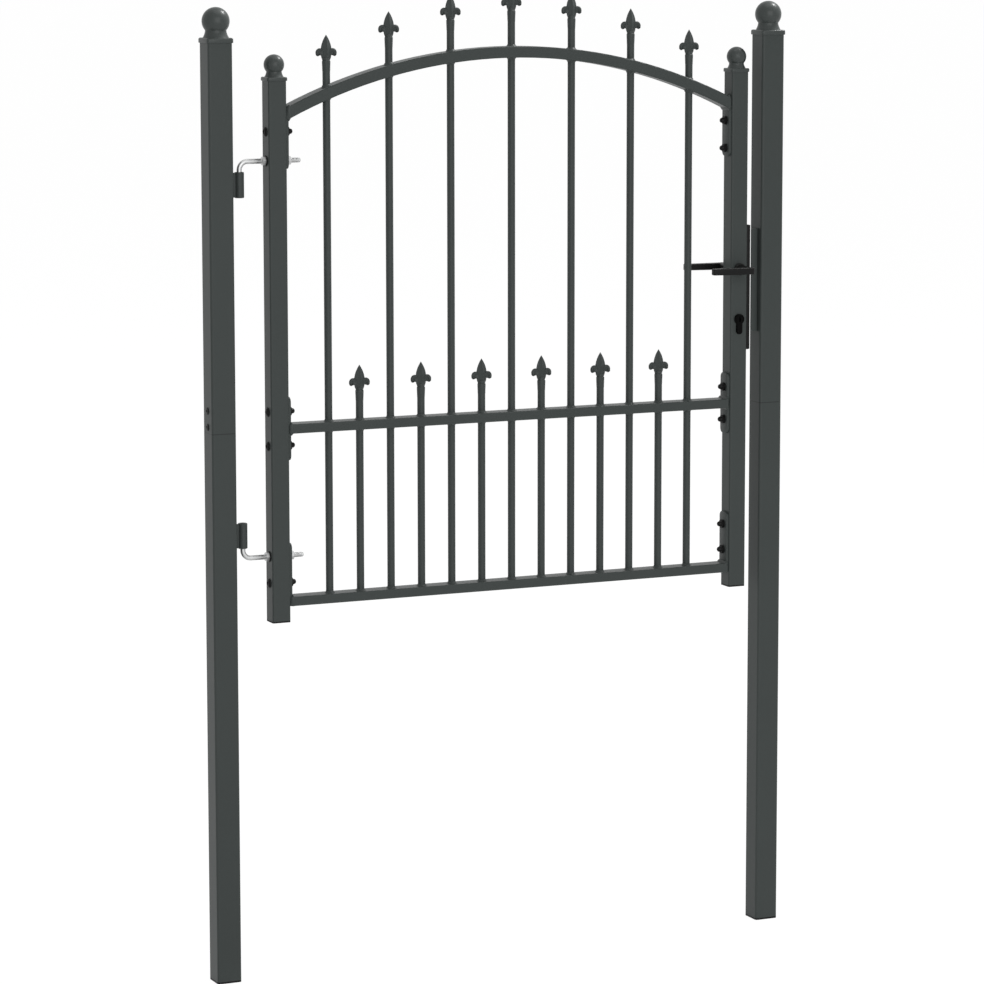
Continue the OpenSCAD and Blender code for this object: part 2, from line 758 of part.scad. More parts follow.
module lock_cylinder() {
    key_w = 2;
    key_h = 9;
    key_depth = 6;
    color(black) difference() {
        profile_body(cylinder_len, 0);
        for (end_y = [-1, 1] * cylinder_len / 2)
            translate([latch_stile_x - key_w / 2, end_y - key_depth, cylinder_z - key_h / 2])
                cube([key_w, 2 * key_depth, key_h]);
    }
}

// Side view of the lever's arm, the spindle at the origin and the far end at -X
module arm_side() {
    narrow_x = lever_taper - lever_reach;
    polygon([
        [-lever_reach, -lever_end_h / 2], [narrow_x, -lever_h / 2], [lever_corner, -lever_h / 2],
        [lever_corner, lever_h / 2], [narrow_x, lever_h / 2], [-lever_reach, lever_end_h / 2]
    ]);
}

// Top view of the arm, its corner in front of the spindle rounded
module arm_top() {
    front = -lever_out;
    back = lever_t - lever_out;
    translate([-lever_reach, front]) square([lever_reach, lever_t]);
    translate([0, front + lever_corner]) intersection() {
        circle(lever_corner);
        translate([-lever_corner, -lever_corner]) square([2 * lever_corner, lever_corner]);
    }
    translate([0, front + lever_corner]) square([lever_corner, back - front - lever_corner]);
}

// Lever on the front of the gate: neck and arm, with the spindle's blind socket
module lever() {
    foot_y = stile_half + neck_gap;
    neck_len = lever_out - lever_t - foot_y + 2;
    socket = spindle_side + 2 * socket_clear;
    translate([latch_stile_x, 0, spindle_z]) difference() {
        union() {
            intersection() {
                translate([0, lever_t - lever_out, 0]) rotate([90, 0, 0])
                    linear_extrude(lever_t) arm_side();
                translate([0, 0, -lever_h]) linear_extrude(2 * lever_h) arm_top();
            }
            translate([0, -foot_y, 0]) rotate([90, 0, 0])
                cylinder(r1 = neck_foot_r, r2 = neck_top_r, h = neck_len);
        }
        translate([-socket / 2, -foot_y - socket_depth, -socket / 2])
            cube([socket, socket_depth + over, socket]);
    }
}
module front_lever() { color(black) lever(); }
module back_lever() { color(black) mirror([0, 1, 0]) lever(); }

// Square spindle through the lock, with the round follower that turns in the case
module spindle() {
    half = stile_half + neck_gap + socket_depth - 1;
    color(zinc) translate([latch_stile_x, 0, spindle_z]) {
        translate([-spindle_side / 2, -half, -spindle_side / 2])
            cube([spindle_side, 2 * half, spindle_side]);
        translate([0, -case_width / 2, 0]) rod_y(follower_r, case_width);
    }
}

hinge_post_lower();
hinge_post_upper();
latch_post_lower();
latch_post_upper();
post_sleeves();
post_joint_bolts();
hinge_post_cap();
latch_post_cap();
post_foot_plugs();
upper_hinge_barrel();
lower_hinge_barrel();
strike_plate();
hinge_stile();
latch_stile();
hinge_stile_cap();
latch_stile_cap();
stile_foot_plugs();
bottom_rail();
middle_rail();
arched_rail();
rail_end_plates();
tall_bar(1);  // tall_bar_1
tall_bar(2);  // tall_bar_2
tall_bar(3);  // tall_bar_3
tall_bar(4);  // tall_bar_4
tall_bar(5);  // tall_bar_5
tall_bar(6);  // tall_bar_6
tall_bar(7);  // tall_bar_7
short_bar(1);  // short_bar_1
short_bar(2);  // short_bar_2
short_bar(3);  // short_bar_3
short_bar(4);  // short_bar_4
short_bar(5);  // short_bar_5
short_bar(6);  // short_bar_6
tall_spikes();
short_spikes();
frame_bolts();
frame_nuts();
upper_hinge_bolt();
lower_hinge_bolt();
hinge_nuts();
lock_case();
lock_bolts();
lock_cylinder();
front_lever();
back_lever();
spindle();
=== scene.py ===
# %% [markdown]
# # A spiked garden gate between two posts
# The gate is welded from steel tube, powder coated in dark grey, and hung on two bent hinge bolts.
# The packed CAD parts are loaded first. They already have the right size and place, so every
# piece that is added here takes its position from their boxes.

import json
import math

import bmesh
import bpy
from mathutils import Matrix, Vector


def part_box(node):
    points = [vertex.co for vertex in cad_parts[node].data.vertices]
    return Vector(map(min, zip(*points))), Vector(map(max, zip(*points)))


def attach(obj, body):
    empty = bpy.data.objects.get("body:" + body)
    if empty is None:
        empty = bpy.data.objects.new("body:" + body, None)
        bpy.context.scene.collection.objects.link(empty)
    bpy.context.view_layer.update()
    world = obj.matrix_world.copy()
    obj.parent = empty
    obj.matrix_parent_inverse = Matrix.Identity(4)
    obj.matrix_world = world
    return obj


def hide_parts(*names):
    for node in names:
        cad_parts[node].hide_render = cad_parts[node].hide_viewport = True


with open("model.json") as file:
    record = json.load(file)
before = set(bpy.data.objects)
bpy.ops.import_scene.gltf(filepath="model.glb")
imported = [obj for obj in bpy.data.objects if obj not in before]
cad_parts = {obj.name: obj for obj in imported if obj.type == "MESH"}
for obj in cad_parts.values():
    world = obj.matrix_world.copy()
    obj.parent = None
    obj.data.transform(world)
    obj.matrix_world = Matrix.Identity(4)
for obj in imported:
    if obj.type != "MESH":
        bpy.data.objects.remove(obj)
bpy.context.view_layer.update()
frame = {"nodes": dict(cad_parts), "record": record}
mm = 0.001

# %% [markdown]
# ## Camera
# The gate is seen from the front left and from a little above, with a long lens.
# A long lens keeps the posts nearly parallel, as on a catalogue picture of a tall flat object.

# %% Place the camera
tilt_down, turn_right = 0.1378, 0.4331
camera = bpy.data.objects.new("gate_camera", bpy.data.cameras.new("gate_camera"))
bpy.context.scene.collection.objects.link(camera)
bpy.context.scene.camera = camera
camera.location = (-2.1386, -5.7530, 1.6847)
camera.rotation_euler = (math.pi / 2 - tilt_down, 0, -turn_right)
camera.data.lens = 145.29
camera.data.shift_x = -0.033
camera.data.shift_y = -0.035
bpy.context.scene.view_settings.view_transform = "Standard"
print("camera", tuple(round(v, 2) for v in camera.location))

# %% [markdown]
# ## Shader sums
# A finish is a sum of patterns, so a small class lets a node's output stand in a Python sum.
# Every operator adds a Math node, and one method adds any other node.

# %% A class for sums of sockets


class Value:
    """A node's output that can stand in a sum."""

    def __init__(self, tree, socket=None):
        self.tree, self.socket = tree, socket

    def node(self, kind, settings=None, output=0, **sockets):
        """Adds any node: its settings are set first, and a socket is named, or numbered as _0, _1."""
        made = self.tree.nodes.new(kind)
        for name, setting in (settings or {}).items():
            setattr(made, name, setting)
        for name, given in sockets.items():
            key = int(name[1:]) if name[0] == "_" else name.replace("_", " ")
            if isinstance(given, Value):
                self.tree.links.new(given.socket, made.inputs[key])
            else:
                made.inputs[key].default_value = given
        return Value(self.tree, made.outputs[output])

    def math(self, operation, *values):
        numbered = {f"_{place}": value for place, value in enumerate(values)}
        return self.node("ShaderNodeMath", {"operation": operation}, **numbered)

    def __add__(self, other):
        return self.math("ADD", self, other)

    def __sub__(self, other):
        return self.math("SUBTRACT", self, other)

    def __rsub__(self, other):
        return self.math("SUBTRACT", other, self)

    def __mul__(self, other):
        return self.math("MULTIPLY", self, other)

    __radd__, __rmul__ = __add__, __mul__

    def between(self, low, high):
        """0 below low, 1 above high and a soft step between them."""
        step = {"interpolation_type": "SMOOTHSTEP"}
        return self.node("ShaderNodeMapRange", step, _0=self, _1=low, _2=high)

    def tint(self, low, high):
        """A colour that goes from low to high as this value goes from 0 to 1."""
        ends = [end if isinstance(end, Value) else (*end, 1) for end in (low, high)]
        return self.node("ShaderNodeMix", {"data_type": "RGBA"}, 2, _0=self, _6=ends[0], _7=ends[1])


def new_finish(name):
    """A material with nodes, its shader, and an empty Value that starts the sums."""
    material = bpy.data.materials.new(name)
    material.use_nodes = True
    tree = material.node_tree
    return material, tree.nodes["Principled BSDF"], Value(tree)


def wire(shader, **values):
    """Links values to the shader's sockets by name."""
    for name, value in values.items():
        value.tree.links.new(value.socket, shader.inputs[name.replace("_", " ")])


print("Value has", [name for name in vars(Value) if name.startswith("__r")])

# %% [markdown]
# ## Floor, background and lamps
# A studio floor is one very large sheet. Its material shows plain white to the camera and to
# mirror-like rays, and keeps a share of real shading, so the posts still have a soft shadow.

# %% White where the camera and glossy rays look
look = bpy.context.scene
look.world = bpy.data.worlds.new("studio")
look.world.use_nodes = True


def white_seen(start):
    """1 for camera, glossy and transmission rays, and 0 for the rays that light the gate."""
    path = start.node("ShaderNodeLightPath").socket.node
    kinds = ("Camera", "Glossy", "Transmission")
    rays = [Value(start.tree, path.outputs[f"Is {kind} Ray"]) for kind in kinds]
    return start.math("MINIMUM", rays[0] + rays[1] + rays[2], 1.0)


sky_light, white = 0.34, 1.0
sky = look.world.node_tree.nodes["Background"]
start = Value(look.world.node_tree)
seen = start.node("ShaderNodeMix", {"data_type": "FLOAT"}, _0=white_seen(start), _2=sky_light, _3=white)
wire(sky, Strength=seen)
sky.inputs["Color"].default_value = (1, 1, 1, 1)
print("world made")

# %% [markdown]
# The floor mixes two shaders. One is a plain glow, which gives the even white, and the other is a
# dull surface that takes shadow. The mix goes almost all the way to the glow.

# %% Lay the floor
glow, glow_share = 1.07, 0.9
bpy.ops.object.select_all(action="DESELECT")
bpy.ops.mesh.primitive_plane_add(size=160, location=(0.48, 0, 0))
floor = bpy.context.object
floor.name = "floor"
material, shader, start = new_finish("studio_floor")
shader.inputs["Base Color"].default_value = (0.9, 0.9, 0.9, 1)
shader.inputs["Roughness"].default_value = 1.0
shader.inputs["Specular IOR Level"].default_value = 0.0
plain = start.node("ShaderNodeEmission", Color=(1, 1, 1, 1), Strength=glow)
lit = Value(start.tree, shader.outputs[0])
shown = start.node("ShaderNodeMixShader", _0=white_seen(start) * glow_share, _1=lit, _2=plain)
start.tree.links.new(shown.socket, start.tree.nodes["Material Output"].inputs["Surface"])
floor.data.materials.append(material)
print("floor", floor.dimensions.x, "m wide")

# %% [markdown]
# ## Lamps
# A very broad lamp in front lights the gate evenly, so that paint shows about the tone it is mixed
# at. A small strong one high on the right puts a glint on each ball, and a weak one hangs above.

# %% Hang the lamps
gate_middle = Vector((0.48, 0, 0.9))
for name, place, size, watts in (
    ("lamp_right", (4.3, 0.5, 6.1), 1.6, 320),
    ("lamp_top", (0.5, -0.5, 6.0), 3.0, 30),
    ("lamp_front", (-0.5, -7.5, 2.4), 6.0, 228),
):
    lamp = bpy.data.objects.new(name, bpy.data.lights.new(name, "AREA"))
    look.collection.objects.link(lamp)
    lamp.location = place
    lamp.data.size = size
    lamp.data.energy = watts
    lamp.rotation_euler = (gate_middle - lamp.location).to_track_quat("-Z", "Y").to_euler()
    print(name, watts, "W")

# %% [markdown]
# ## Finishes
# Powder coat is sprayed on as dry paint and baked. It has a fine orange-peel skin and a satin
# shine, so a small bump and a slightly uneven roughness say more than a strong colour pattern.
# It lies smoother on the cast caps, which get a thin clear layer on top for a sharper glint.

# %% Grey powder coat


def grey_powder_coat(name, seam=None, clear=0.0):
    """Dark grey satin paint; seam is the height of a near-black line of painted shade for the gap between two
    tubes, clear is a gloss layer.
    """
    material, shader, start = new_finish(name)
    place = start.node("ShaderNodeTexCoord", output=3)
    peel = start.node("ShaderNodeTexNoise", Vector=place, Scale=900.0, Detail=2.0)
    patch = start.node("ShaderNodeTexNoise", Vector=place, Scale=5.0, Detail=3.0)
    colour = patch.tint((0.0438, 0.0511, 0.0493), (0.0501, 0.0584, 0.0563))
    if seam is not None:
        # Painted shade: a near-black line at the seam height darkens the colour half way, standing in for the
        # shadow in the gap between the lower and the upper tube.
        height = start.node("ShaderNodeSeparateXYZ", output=2, Vector=place)
        line = 1 - start.math("ABSOLUTE", height - seam).between(0.4 * mm, 1.0 * mm)
        colour = (line * 0.5).tint(colour, (0.004, 0.004, 0.004))
    bump = start.node("ShaderNodeBump", Height=peel, Strength=0.25, Distance=0.1 * mm)
    wire(shader, Base_Color=colour, Roughness=0.38 + patch * 0.06, Normal=bump)
    shader.inputs["Specular IOR Level"].default_value = 0.18
    shader.inputs["Coat Weight"].default_value = clear
    shader.inputs["Coat Roughness"].default_value = 0.16
    return material


coat = grey_powder_coat("grey_powder_coat")
seam_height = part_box("hinge_post_lower")[1].z
post_coat = grey_powder_coat("post_powder_coat", seam_height)
cap_coat = grey_powder_coat("cap_powder_coat", clear=0.16)
print("made", coat.name, post_coat.name, cap_coat.name)

# %% [markdown]
# The hinge bolts and their nuts are bright zinc plated steel. Plating is a metal skin with faint
# cloudy marks, so the colour and the roughness follow a small noise.

# %% Bright zinc plating


def zinc_plating():
    material, shader, start = new_finish("zinc_plating")
    place = start.node("ShaderNodeTexCoord", output=3)
    cloud = start.node("ShaderNodeTexNoise", Vector=place, Scale=220.0, Detail=4.0)
    wire(shader, Base_Color=cloud.tint((0.47, 0.48, 0.49), (0.62, 0.62, 0.61)), Roughness=0.34 + cloud * 0.2)
    shader.inputs["Metallic"].default_value = 1.0
    return material


zinc = zinc_plating()
print("made", zinc.name)

# %% [markdown]
# Screws, dome nuts, levers and the lock are black. The metal parts are smooth and a little shiny, the plastic
# plugs are duller with a finer grain, and the key cylinder is darkest of all, with painted shade in its
# darker tone and weaker shine.

# %% Black hardware and black plastic


def black_finish(name, tone, rough, grain, shine=0.15):
    """A black skin; tone is its colour, grain the scale of its texture, and shine its specular level."""
    material, shader, start = new_finish(name)
    place = start.node("ShaderNodeTexCoord", output=3)
    skin = start.node("ShaderNodeTexNoise", Vector=place, Scale=grain, Detail=3.0)
    bump = start.node("ShaderNodeBump", Height=skin, Strength=0.3, Distance=0.1 * mm)
    colour = skin.tint((tone,) * 3, (tone * 1.5,) * 3)
    wire(shader, Base_Color=colour, Roughness=rough + skin * 0.12, Normal=bump)
    shader.inputs["Specular IOR Level"].default_value = shine
    return material


black_metal = black_finish("black_hardware", 0.004, 0.36, 700.0)
black_plastic = black_finish("black_plastic", 0.007, 0.50, 1200.0)
# Painted shade: the key cylinder gets a darker tone and a weaker shine than the other black parts, to show
# the shade it sits in.
shaded_cylinder_black = black_finish("black_cylinder", 0.0012, 0.55, 900.0, 0.05)
print("made", black_metal.name, black_plastic.name, shaded_cylinder_black.name)

# %% [markdown]
# The record names a slot for every CAD part, so a small table is enough to paint them all. Only the tubes of
# the posts differ, because they show a line of painted shade for the gap between the lower and the upper
# tube.

# %% Give the CAD parts their finishes
by_slot = {
    "grey_powder_coat": coat,
    "black_hardware": black_metal,
    "zinc_plated_steel": zinc,
    "black_plastic": black_plastic,
}
slot_of_finish = {finish.name: slot for slot, finish in by_slot.items()}
slot_of_finish.update({post_coat.name: "grey_powder_coat", cap_coat.name: "grey_powder_coat",
                       shaded_cylinder_black.name: "black_hardware"})
slot_of = {part["node"]: part["material_slot"] for part in frame["record"]["subparts"]}
for name, part in frame["nodes"].items():
    finish = post_coat if "_post_" in name and name[-5:] in ("lower", "upper") else by_slot[slot_of[name]]
    part.data.materials.clear()
    part.data.materials.append(finish)
print(len(frame["nodes"]), "CAD parts painted")

# %% [markdown]
# ## The modelling bench
# Each piece starts as a primitive at its own size and place. A few helpers keep the steps short:
# one starts a piece and opens it in edit mode, one selects by place or direction, and one closes
# the piece, paints it and hands it to the body of the gate that carries it.

# %% Start, select and close a piece


def alone(*pieces):
    """Selects only these pieces; the first one is active."""
    bpy.ops.object.select_all(action="DESELECT")
    for piece in pieces:
        piece.select_set(True)
    bpy.context.view_layer.objects.active = pieces[0]


def begin(primitive, **size_and_place):
    """Adds a primitive alone, puts its place into its mesh, and opens it in edit mode."""
    bpy.ops.object.select_all(action="DESELECT")
    primitive(**size_and_place)
    bpy.ops.object.transform_apply(location=True, rotation=True, scale=True)
    bpy.ops.object.mode_set(mode="EDIT")
    bpy.ops.mesh.select_mode(type="VERT")
    bpy.ops.mesh.select_all(action="SELECT")
    return bpy.context.object


def pick(kind, test):
    """Selects the verts, edges or faces that pass test(middle, direction)."""
    bpy.ops.mesh.select_mode(type={"verts": "VERT", "edges": "EDGE", "faces": "FACE"}[kind])
    bpy.ops.mesh.select_all(action="DESELECT")
    mesh = bmesh.from_edit_mesh(bpy.context.object.data)
    chosen = 0
    for part in getattr(mesh, kind):
        ends = [corner.co for corner in part.verts] if kind != "verts" else [part.co]
        middle = sum(ends, Vector()) / len(ends)
        direction = (ends[1] - ends[0]).normalized() if kind == "edges" else part.normal
        if test(middle, direction):
            part.select_set(True)
            chosen += 1
    bmesh.update_edit_mesh(bpy.context.object.data)
    return chosen


def close(piece):
    """Merges doubles, turns the faces outwards and leaves edit mode."""
    bpy.ops.mesh.select_all(action="SELECT")
    bpy.ops.mesh.remove_doubles(threshold=0.002 * mm)
    bpy.ops.mesh.normals_make_consistent(inside=False)
    bpy.ops.object.mode_set(mode="OBJECT")
    return piece


def hand_over(piece, name, finish, body, *nodes, angle=32):
    """Names and paints a finished piece, and lets it ride on a body in place of CAD nodes."""
    piece.name = piece.data.name = name
    piece.data.materials.clear()
    piece.data.materials.append(finish)
    alone(piece)
    bpy.ops.object.shade_smooth_by_angle(angle=math.radians(angle))
    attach(piece, body)
    if nodes:
        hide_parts(*nodes)
    return piece


def join(*pieces):
    """Makes one piece of several."""
    alone(*pieces)
    bpy.ops.object.join()
    return pieces[0]


print("bench ready")

# %% [markdown]
# Round pieces are turned on a lathe, and the spin operator is Blender's lathe. One vertex is pushed
# along half of the section, and the line that it leaves is spun once round the axis.

# %% Turn and copy


def turned(middle, section, steps=40, axis="Z", side=1):
    """Spins (radius, height) pairs in mm round an axis through middle; side -1 turns the heights over."""
    out, up = {"Z": (Vector((1, 0, 0)), Vector((0, 0, 1))), "X": (Vector((0, 0, 1)), Vector((1, 0, 0))),
               "Y": (Vector((1, 0, 0)), Vector((0, 1, 0)))}[axis]
    piece = begin(bpy.ops.mesh.primitive_plane_add, size=0.01, location=middle)
    bpy.ops.mesh.merge(type="CENTER")
    last = Vector()
    for number, (radius, height) in enumerate(section):
        here = (out * radius + up * (side * height)) * mm
        step = {"value": here - last}
        if number:
            bpy.ops.mesh.extrude_vertices_move(TRANSFORM_OT_translate=step)
        else:
            bpy.ops.transform.translate(**step)
        last = here
    bpy.ops.mesh.select_all(action="SELECT")
    bpy.ops.mesh.spin(steps=steps, angle=math.radians(360), center=middle, axis=up)
    return close(piece)


def arc(across, high, radius, begin_angle, end_angle, parts):
    """Points on an arc, as (radius, height) pairs, from one angle to another in degrees."""
    whole = end_angle - begin_angle
    turns = [math.radians(begin_angle + whole * part / parts) for part in range(parts + 1)]
    return [(across + radius * math.cos(turn), high + radius * math.sin(turn)) for turn in turns]


def copy_to(piece, *places):
    """Copies of a piece with their own meshes, each moved by one of the offsets."""
    made = []
    for place in places:
        alone(piece)
        bpy.ops.object.duplicate(linked=False)
        bpy.ops.transform.translate(value=place)
        bpy.ops.object.transform_apply(location=True, rotation=True, scale=True)
        made.append(bpy.context.object)
    return made


print("lathe ready")

# %% [markdown]
# ## Ball caps
# Each post and each stile ends in a cast cap: a square flange with soft edges, a neck that flares
# down to the flange, and a ball. The flange is a bevelled block, and the neck and the ball are one
# turned section, so the joint between them stays crisp.

# %% Cast the four caps


def ball_cap(name, tube, finish, body, ball, flange, neck_low, neck_high):
    """A cap on a tube; ball, flange height, and the two neck radii are in mm."""
    low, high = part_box(name)
    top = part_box(tube)[1].z
    middle = Vector(((low.x + high.x) / 2, (low.y + high.y) / 2, top))
    wide = high.x - low.x
    cap = begin(bpy.ops.mesh.primitive_cube_add, size=1, location=middle + Vector((0, 0, flange / 2 * mm)),
                scale=(wide, wide, flange * mm))
    pick("edges", lambda at, along: abs(along.z) > 0.9)
    bpy.ops.mesh.bevel(offset=4.5 * mm, segments=5, affect="EDGES")
    pick("edges", lambda at, along: at.z > top + (flange - 0.1) * mm)
    bpy.ops.mesh.bevel(offset=flange * 0.34 * mm, segments=5, affect="EDGES")
    pick("edges", lambda at, along: at.z < top + 0.1 * mm)
    bpy.ops.mesh.bevel(offset=flange * 0.12 * mm, segments=2, affect="EDGES")
    close(cap)
    rise = (high.z - top) / mm - 2 * ball
    centre = rise + ball
    meet = -math.degrees(math.acos(neck_high / ball))
    foot = centre + ball * math.sin(math.radians(meet))
    sunk, widen, parts = flange - 0.3, neck_low - neck_high, 8
    flare = [(neck_high + widen * (1 - part / parts) ** 1.7, sunk + (foot - sunk) * part / parts)
             for part in range(parts)]
    section = [(0, sunk)] + flare + arc(0, centre, ball, meet, 90, 16)
    knob = turned(middle, section, steps=48)
    return hand_over(join(cap, knob), name + "_cast", finish, body, name, angle=38)


for name, tube, body, ball, flange, low_neck, high_neck in (
    ("hinge_post_cap", "hinge_post_upper", "posts", 21.6, 8.0, 20.4, 16.4),
    ("latch_post_cap", "latch_post_upper", "posts", 21.6, 8.0, 20.4, 16.4),
    ("hinge_stile_cap", "hinge_stile", "leaf", 16.0, 6.0, 15.2, 12.0),
    ("latch_stile_cap", "latch_stile", "leaf", 16.0, 6.0, 15.2, 12.0),
):
    cap = ball_cap(name, tube, cap_coat, body, ball, flange, low_neck, high_neck)
    print(cap.name, len(cap.data.polygons), "faces")

# %% [markdown]
# ## Spear finials
# Every bar ends in a cast spear. Its leaf is a diamond section with a ridge, its two side scrolls
# curl outwards and end in a hollow eye, and its collar fits over the bar. One spear is modelled
# below its tip, and it is then copied to the tip of each bar.

# %% The leaf of the spear
spear_height = 57
first_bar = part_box("tall_bar_1")
spear_tip = Vector(((first_bar[0].x + first_bar[1].x) / 2, 0, first_bar[1].z + spear_height * mm))
leaf_half, leaf_thick = 9.0, 5.6
levels = ((0.9, 0.09), (4.5, 0.35), (9.5, 0.64), (15, 0.86), (20.5, 0.99), (25, 1.0),
          (29, 0.98), (32, 0.95), (35, 0.90), (37.5, 0.79), (40.5, 0.66))

top_down, top_wide = levels[0]
leaf = begin(bpy.ops.mesh.primitive_circle_add, vertices=8, radius=mm, fill_type="NGON",
             location=spear_tip - Vector((0, 0, top_down * mm)))
pick("verts", lambda at, up: abs(abs(at.x - spear_tip.x) - 0.707 * mm) < 0.1 * mm)
bpy.ops.transform.resize(value=(0.78, 0.50, 1), center_override=spear_tip)
pick("faces", lambda at, up: True)
bpy.ops.transform.resize(value=(leaf_half * top_wide, leaf_thick * top_wide, 1), center_override=spear_tip)
for (above, wide), (below, next_wide) in zip(levels, levels[1:]):
    bpy.ops.mesh.extrude_region_move(TRANSFORM_OT_translate={"value": (0, 0, (above - below) * mm)})
    bpy.ops.transform.resize(value=(next_wide / wide,) * 2 + (1,), center_override=spear_tip)
pick("faces", lambda at, up: at.z > spear_tip.z - (top_down + 0.01) * mm)
bpy.ops.mesh.extrude_region_move(TRANSFORM_OT_translate={"value": (0, 0, top_down * mm)})
bpy.ops.transform.resize(value=(0.2, 0.2, 1), center_override=spear_tip)
close(leaf)
print("leaf", [round(v / mm, 1) for v in leaf.dimensions], "mm")

# %% [markdown]
# A scroll starts as a round face. It is extruded a little at a time, and each new end is turned
# about the heart of the curl and made slightly larger. A thin web fills the curl, and a turned
# bead with a hollow eye closes it.

# %% One side scroll, then its mirror twin
curl_out, curl_down, curl = 10.5, 27.3, 4.3


def scroll(side):
    """A tapered round rod that curls over a filled middle and ends in a bead with a hollow eye."""
    heart = spear_tip + Vector((side * curl_out, 0, -curl_down)) * mm
    rod = begin(bpy.ops.mesh.primitive_circle_add, vertices=14, radius=2.1 * mm, fill_type="NGON",
                location=heart + Vector((-side * curl * mm, 0, -6 * mm)))
    bpy.ops.mesh.extrude_region_move(TRANSFORM_OT_translate={"value": (0, 0, 6 * mm)})
    middle = heart + Vector((-side * curl * mm, 0, 0))
    turn, parts = 216, 15
    step = math.radians(-side * turn / parts)
    for part in range(parts):
        bpy.ops.mesh.extrude_region_move(TRANSFORM_OT_translate={"value": (0, 0, 0)})
        bpy.ops.transform.rotate(value=step, orient_axis="Y", center_override=heart)
        angle = math.pi - math.radians((part + 1) * turn / parts)
        middle = heart + Vector((side * math.cos(angle), 0, math.sin(angle))) * curl * mm
        bpy.ops.transform.resize(value=(1.026,) * 3, center_override=middle)
    close(rod)
    rim = arc(1.1, 0, 2.2, -60, 60, 8)
    eye = turned(middle, [(0, -0.2), (1.8, -0.3), (2.1, -2.7), (2.4, -3.0), *rim,
                          (2.4, 3.0), (2.1, 2.7), (1.8, 0.3), (0, 0.2)], steps=20, axis="Y")
    web = turned(heart, [(0, -1.2), (2.4, -1.3), (4.6, -2.4), (4.6, 2.4), (2.4, 1.3), (0, 1.2)],
                 steps=20, axis="Y")
    return [rod, eye, web]


scrolls = scroll(1) + scroll(-1)
print("scrolls", len(scrolls), "parts")

# %% [markdown]
# The collar is a turned sleeve with a bead at its top. The spear is joined to one piece and copied
# to every bar, because thirteen castings from one mould are all alike.

# %% The collar, then thirteen spears
collar = turned(spear_tip, [(0, -35), (5.0, -35), (4.9, -37.6), (5.2, -39.2), (6.2, -40.0), (6.6, -40.9),
                            (6.62, -43), (6.4, -49), (6.2, -55.6), (6.0, -57), (5.2, -57), (5.2, -55.5),
                            (0, -55.5)], steps=32)
spear = join(leaf, collar, *scrolls)
tall = [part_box(f"tall_bar_{number}") for number in range(1, 8)]
short = [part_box(f"short_bar_{number}") for number in range(1, 7)]
tips = [Vector(((low.x + high.x) / 2, 0, high.z + spear_height * mm)) for low, high in tall + short]
spears = [spear] + copy_to(spear, *[tip - spear_tip for tip in tips[1:]])
for number, piece in enumerate(spears, 1):
    node = "tall_spikes" if number <= len(tall) else "short_spikes"
    hand_over(piece, f"spear_{number}", coat, "leaf", node, angle=26)
print(len(spears), "spears of", len(spear.data.polygons), "faces")

# %% [markdown]
# ## Weld beads
# A small fillet of weld runs round every bar where it passes a rail. The fillet is turned once and
# copied, and on the arch each copy is tilted to the slope of the rail under it.

# %% Turn one bead and lay it round the bars
bar_radius = (first_bar[1].x - first_bar[0].x) / 2 / mm
leg = ((-0.3, 0), (2.6, 0), (2.3, 0.5), (1.3, 1.0), (0.7, 1.9), (0.3, 2.9), (-0.3, 3.1))
bead_section = [(bar_radius + out, height) for out, height in leg]
bottom_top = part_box("bottom_rail")[1].z
middle_low, middle_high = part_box("middle_rail")
arch_low, arch_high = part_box("arched_rail")
arch_middle = (arch_low.x + arch_high.x) / 2
arch_outer, arch_inner = 896 * mm, 878 * mm
arch_centre = arch_high.z - arch_outer
bead = turned(Vector((0, 0, 0)), bead_section, steps=28)
beads = []


def lay_bead(x, z, upward=True, slope=0.0):
    """A copy of the bead round a bar at x, on a rail face at height z that slopes along X."""
    twin = copy_to(bead, (x, 0, z))[0]
    bpy.ops.object.mode_set(mode="EDIT")
    bpy.ops.mesh.select_all(action="SELECT")
    at = Vector((x, 0, z))
    if not upward:
        bpy.ops.transform.resize(value=(1, 1, -1), center_override=at)
    if slope:
        bpy.ops.transform.resize(value=(1 / math.cos(slope), 1, 1), center_override=at)
        bpy.ops.transform.rotate(value=-slope, orient_axis="Y", center_override=at)
    beads.append(close(twin))


for low, high in tall + short:
    x = (low.x + high.x) / 2
    lay_bead(x, bottom_top)
    lay_bead(x, middle_low.z, upward=False)
    lay_bead(x, middle_high.z)
for low, high in tall:
    x = (low.x + high.x) / 2
    off = x - arch_middle
    for radius, upward in ((arch_inner, False), (arch_outer, True)):
        lean = math.asin(off / radius)
        lay_bead(x, arch_centre + radius * math.cos(lean), upward, lean)
alone(bead)
bpy.ops.object.delete()
welds = hand_over(join(*beads), "bar_welds", coat, "leaf", angle=50)
print("beads", len(beads))

# %% [markdown]
# ## Hinge barrels
# Each barrel is a short thick tube on a web plate that is welded to the post. The tube is turned
# with a bore and small chamfers, and the web is a bevelled block with a fillet along the post.

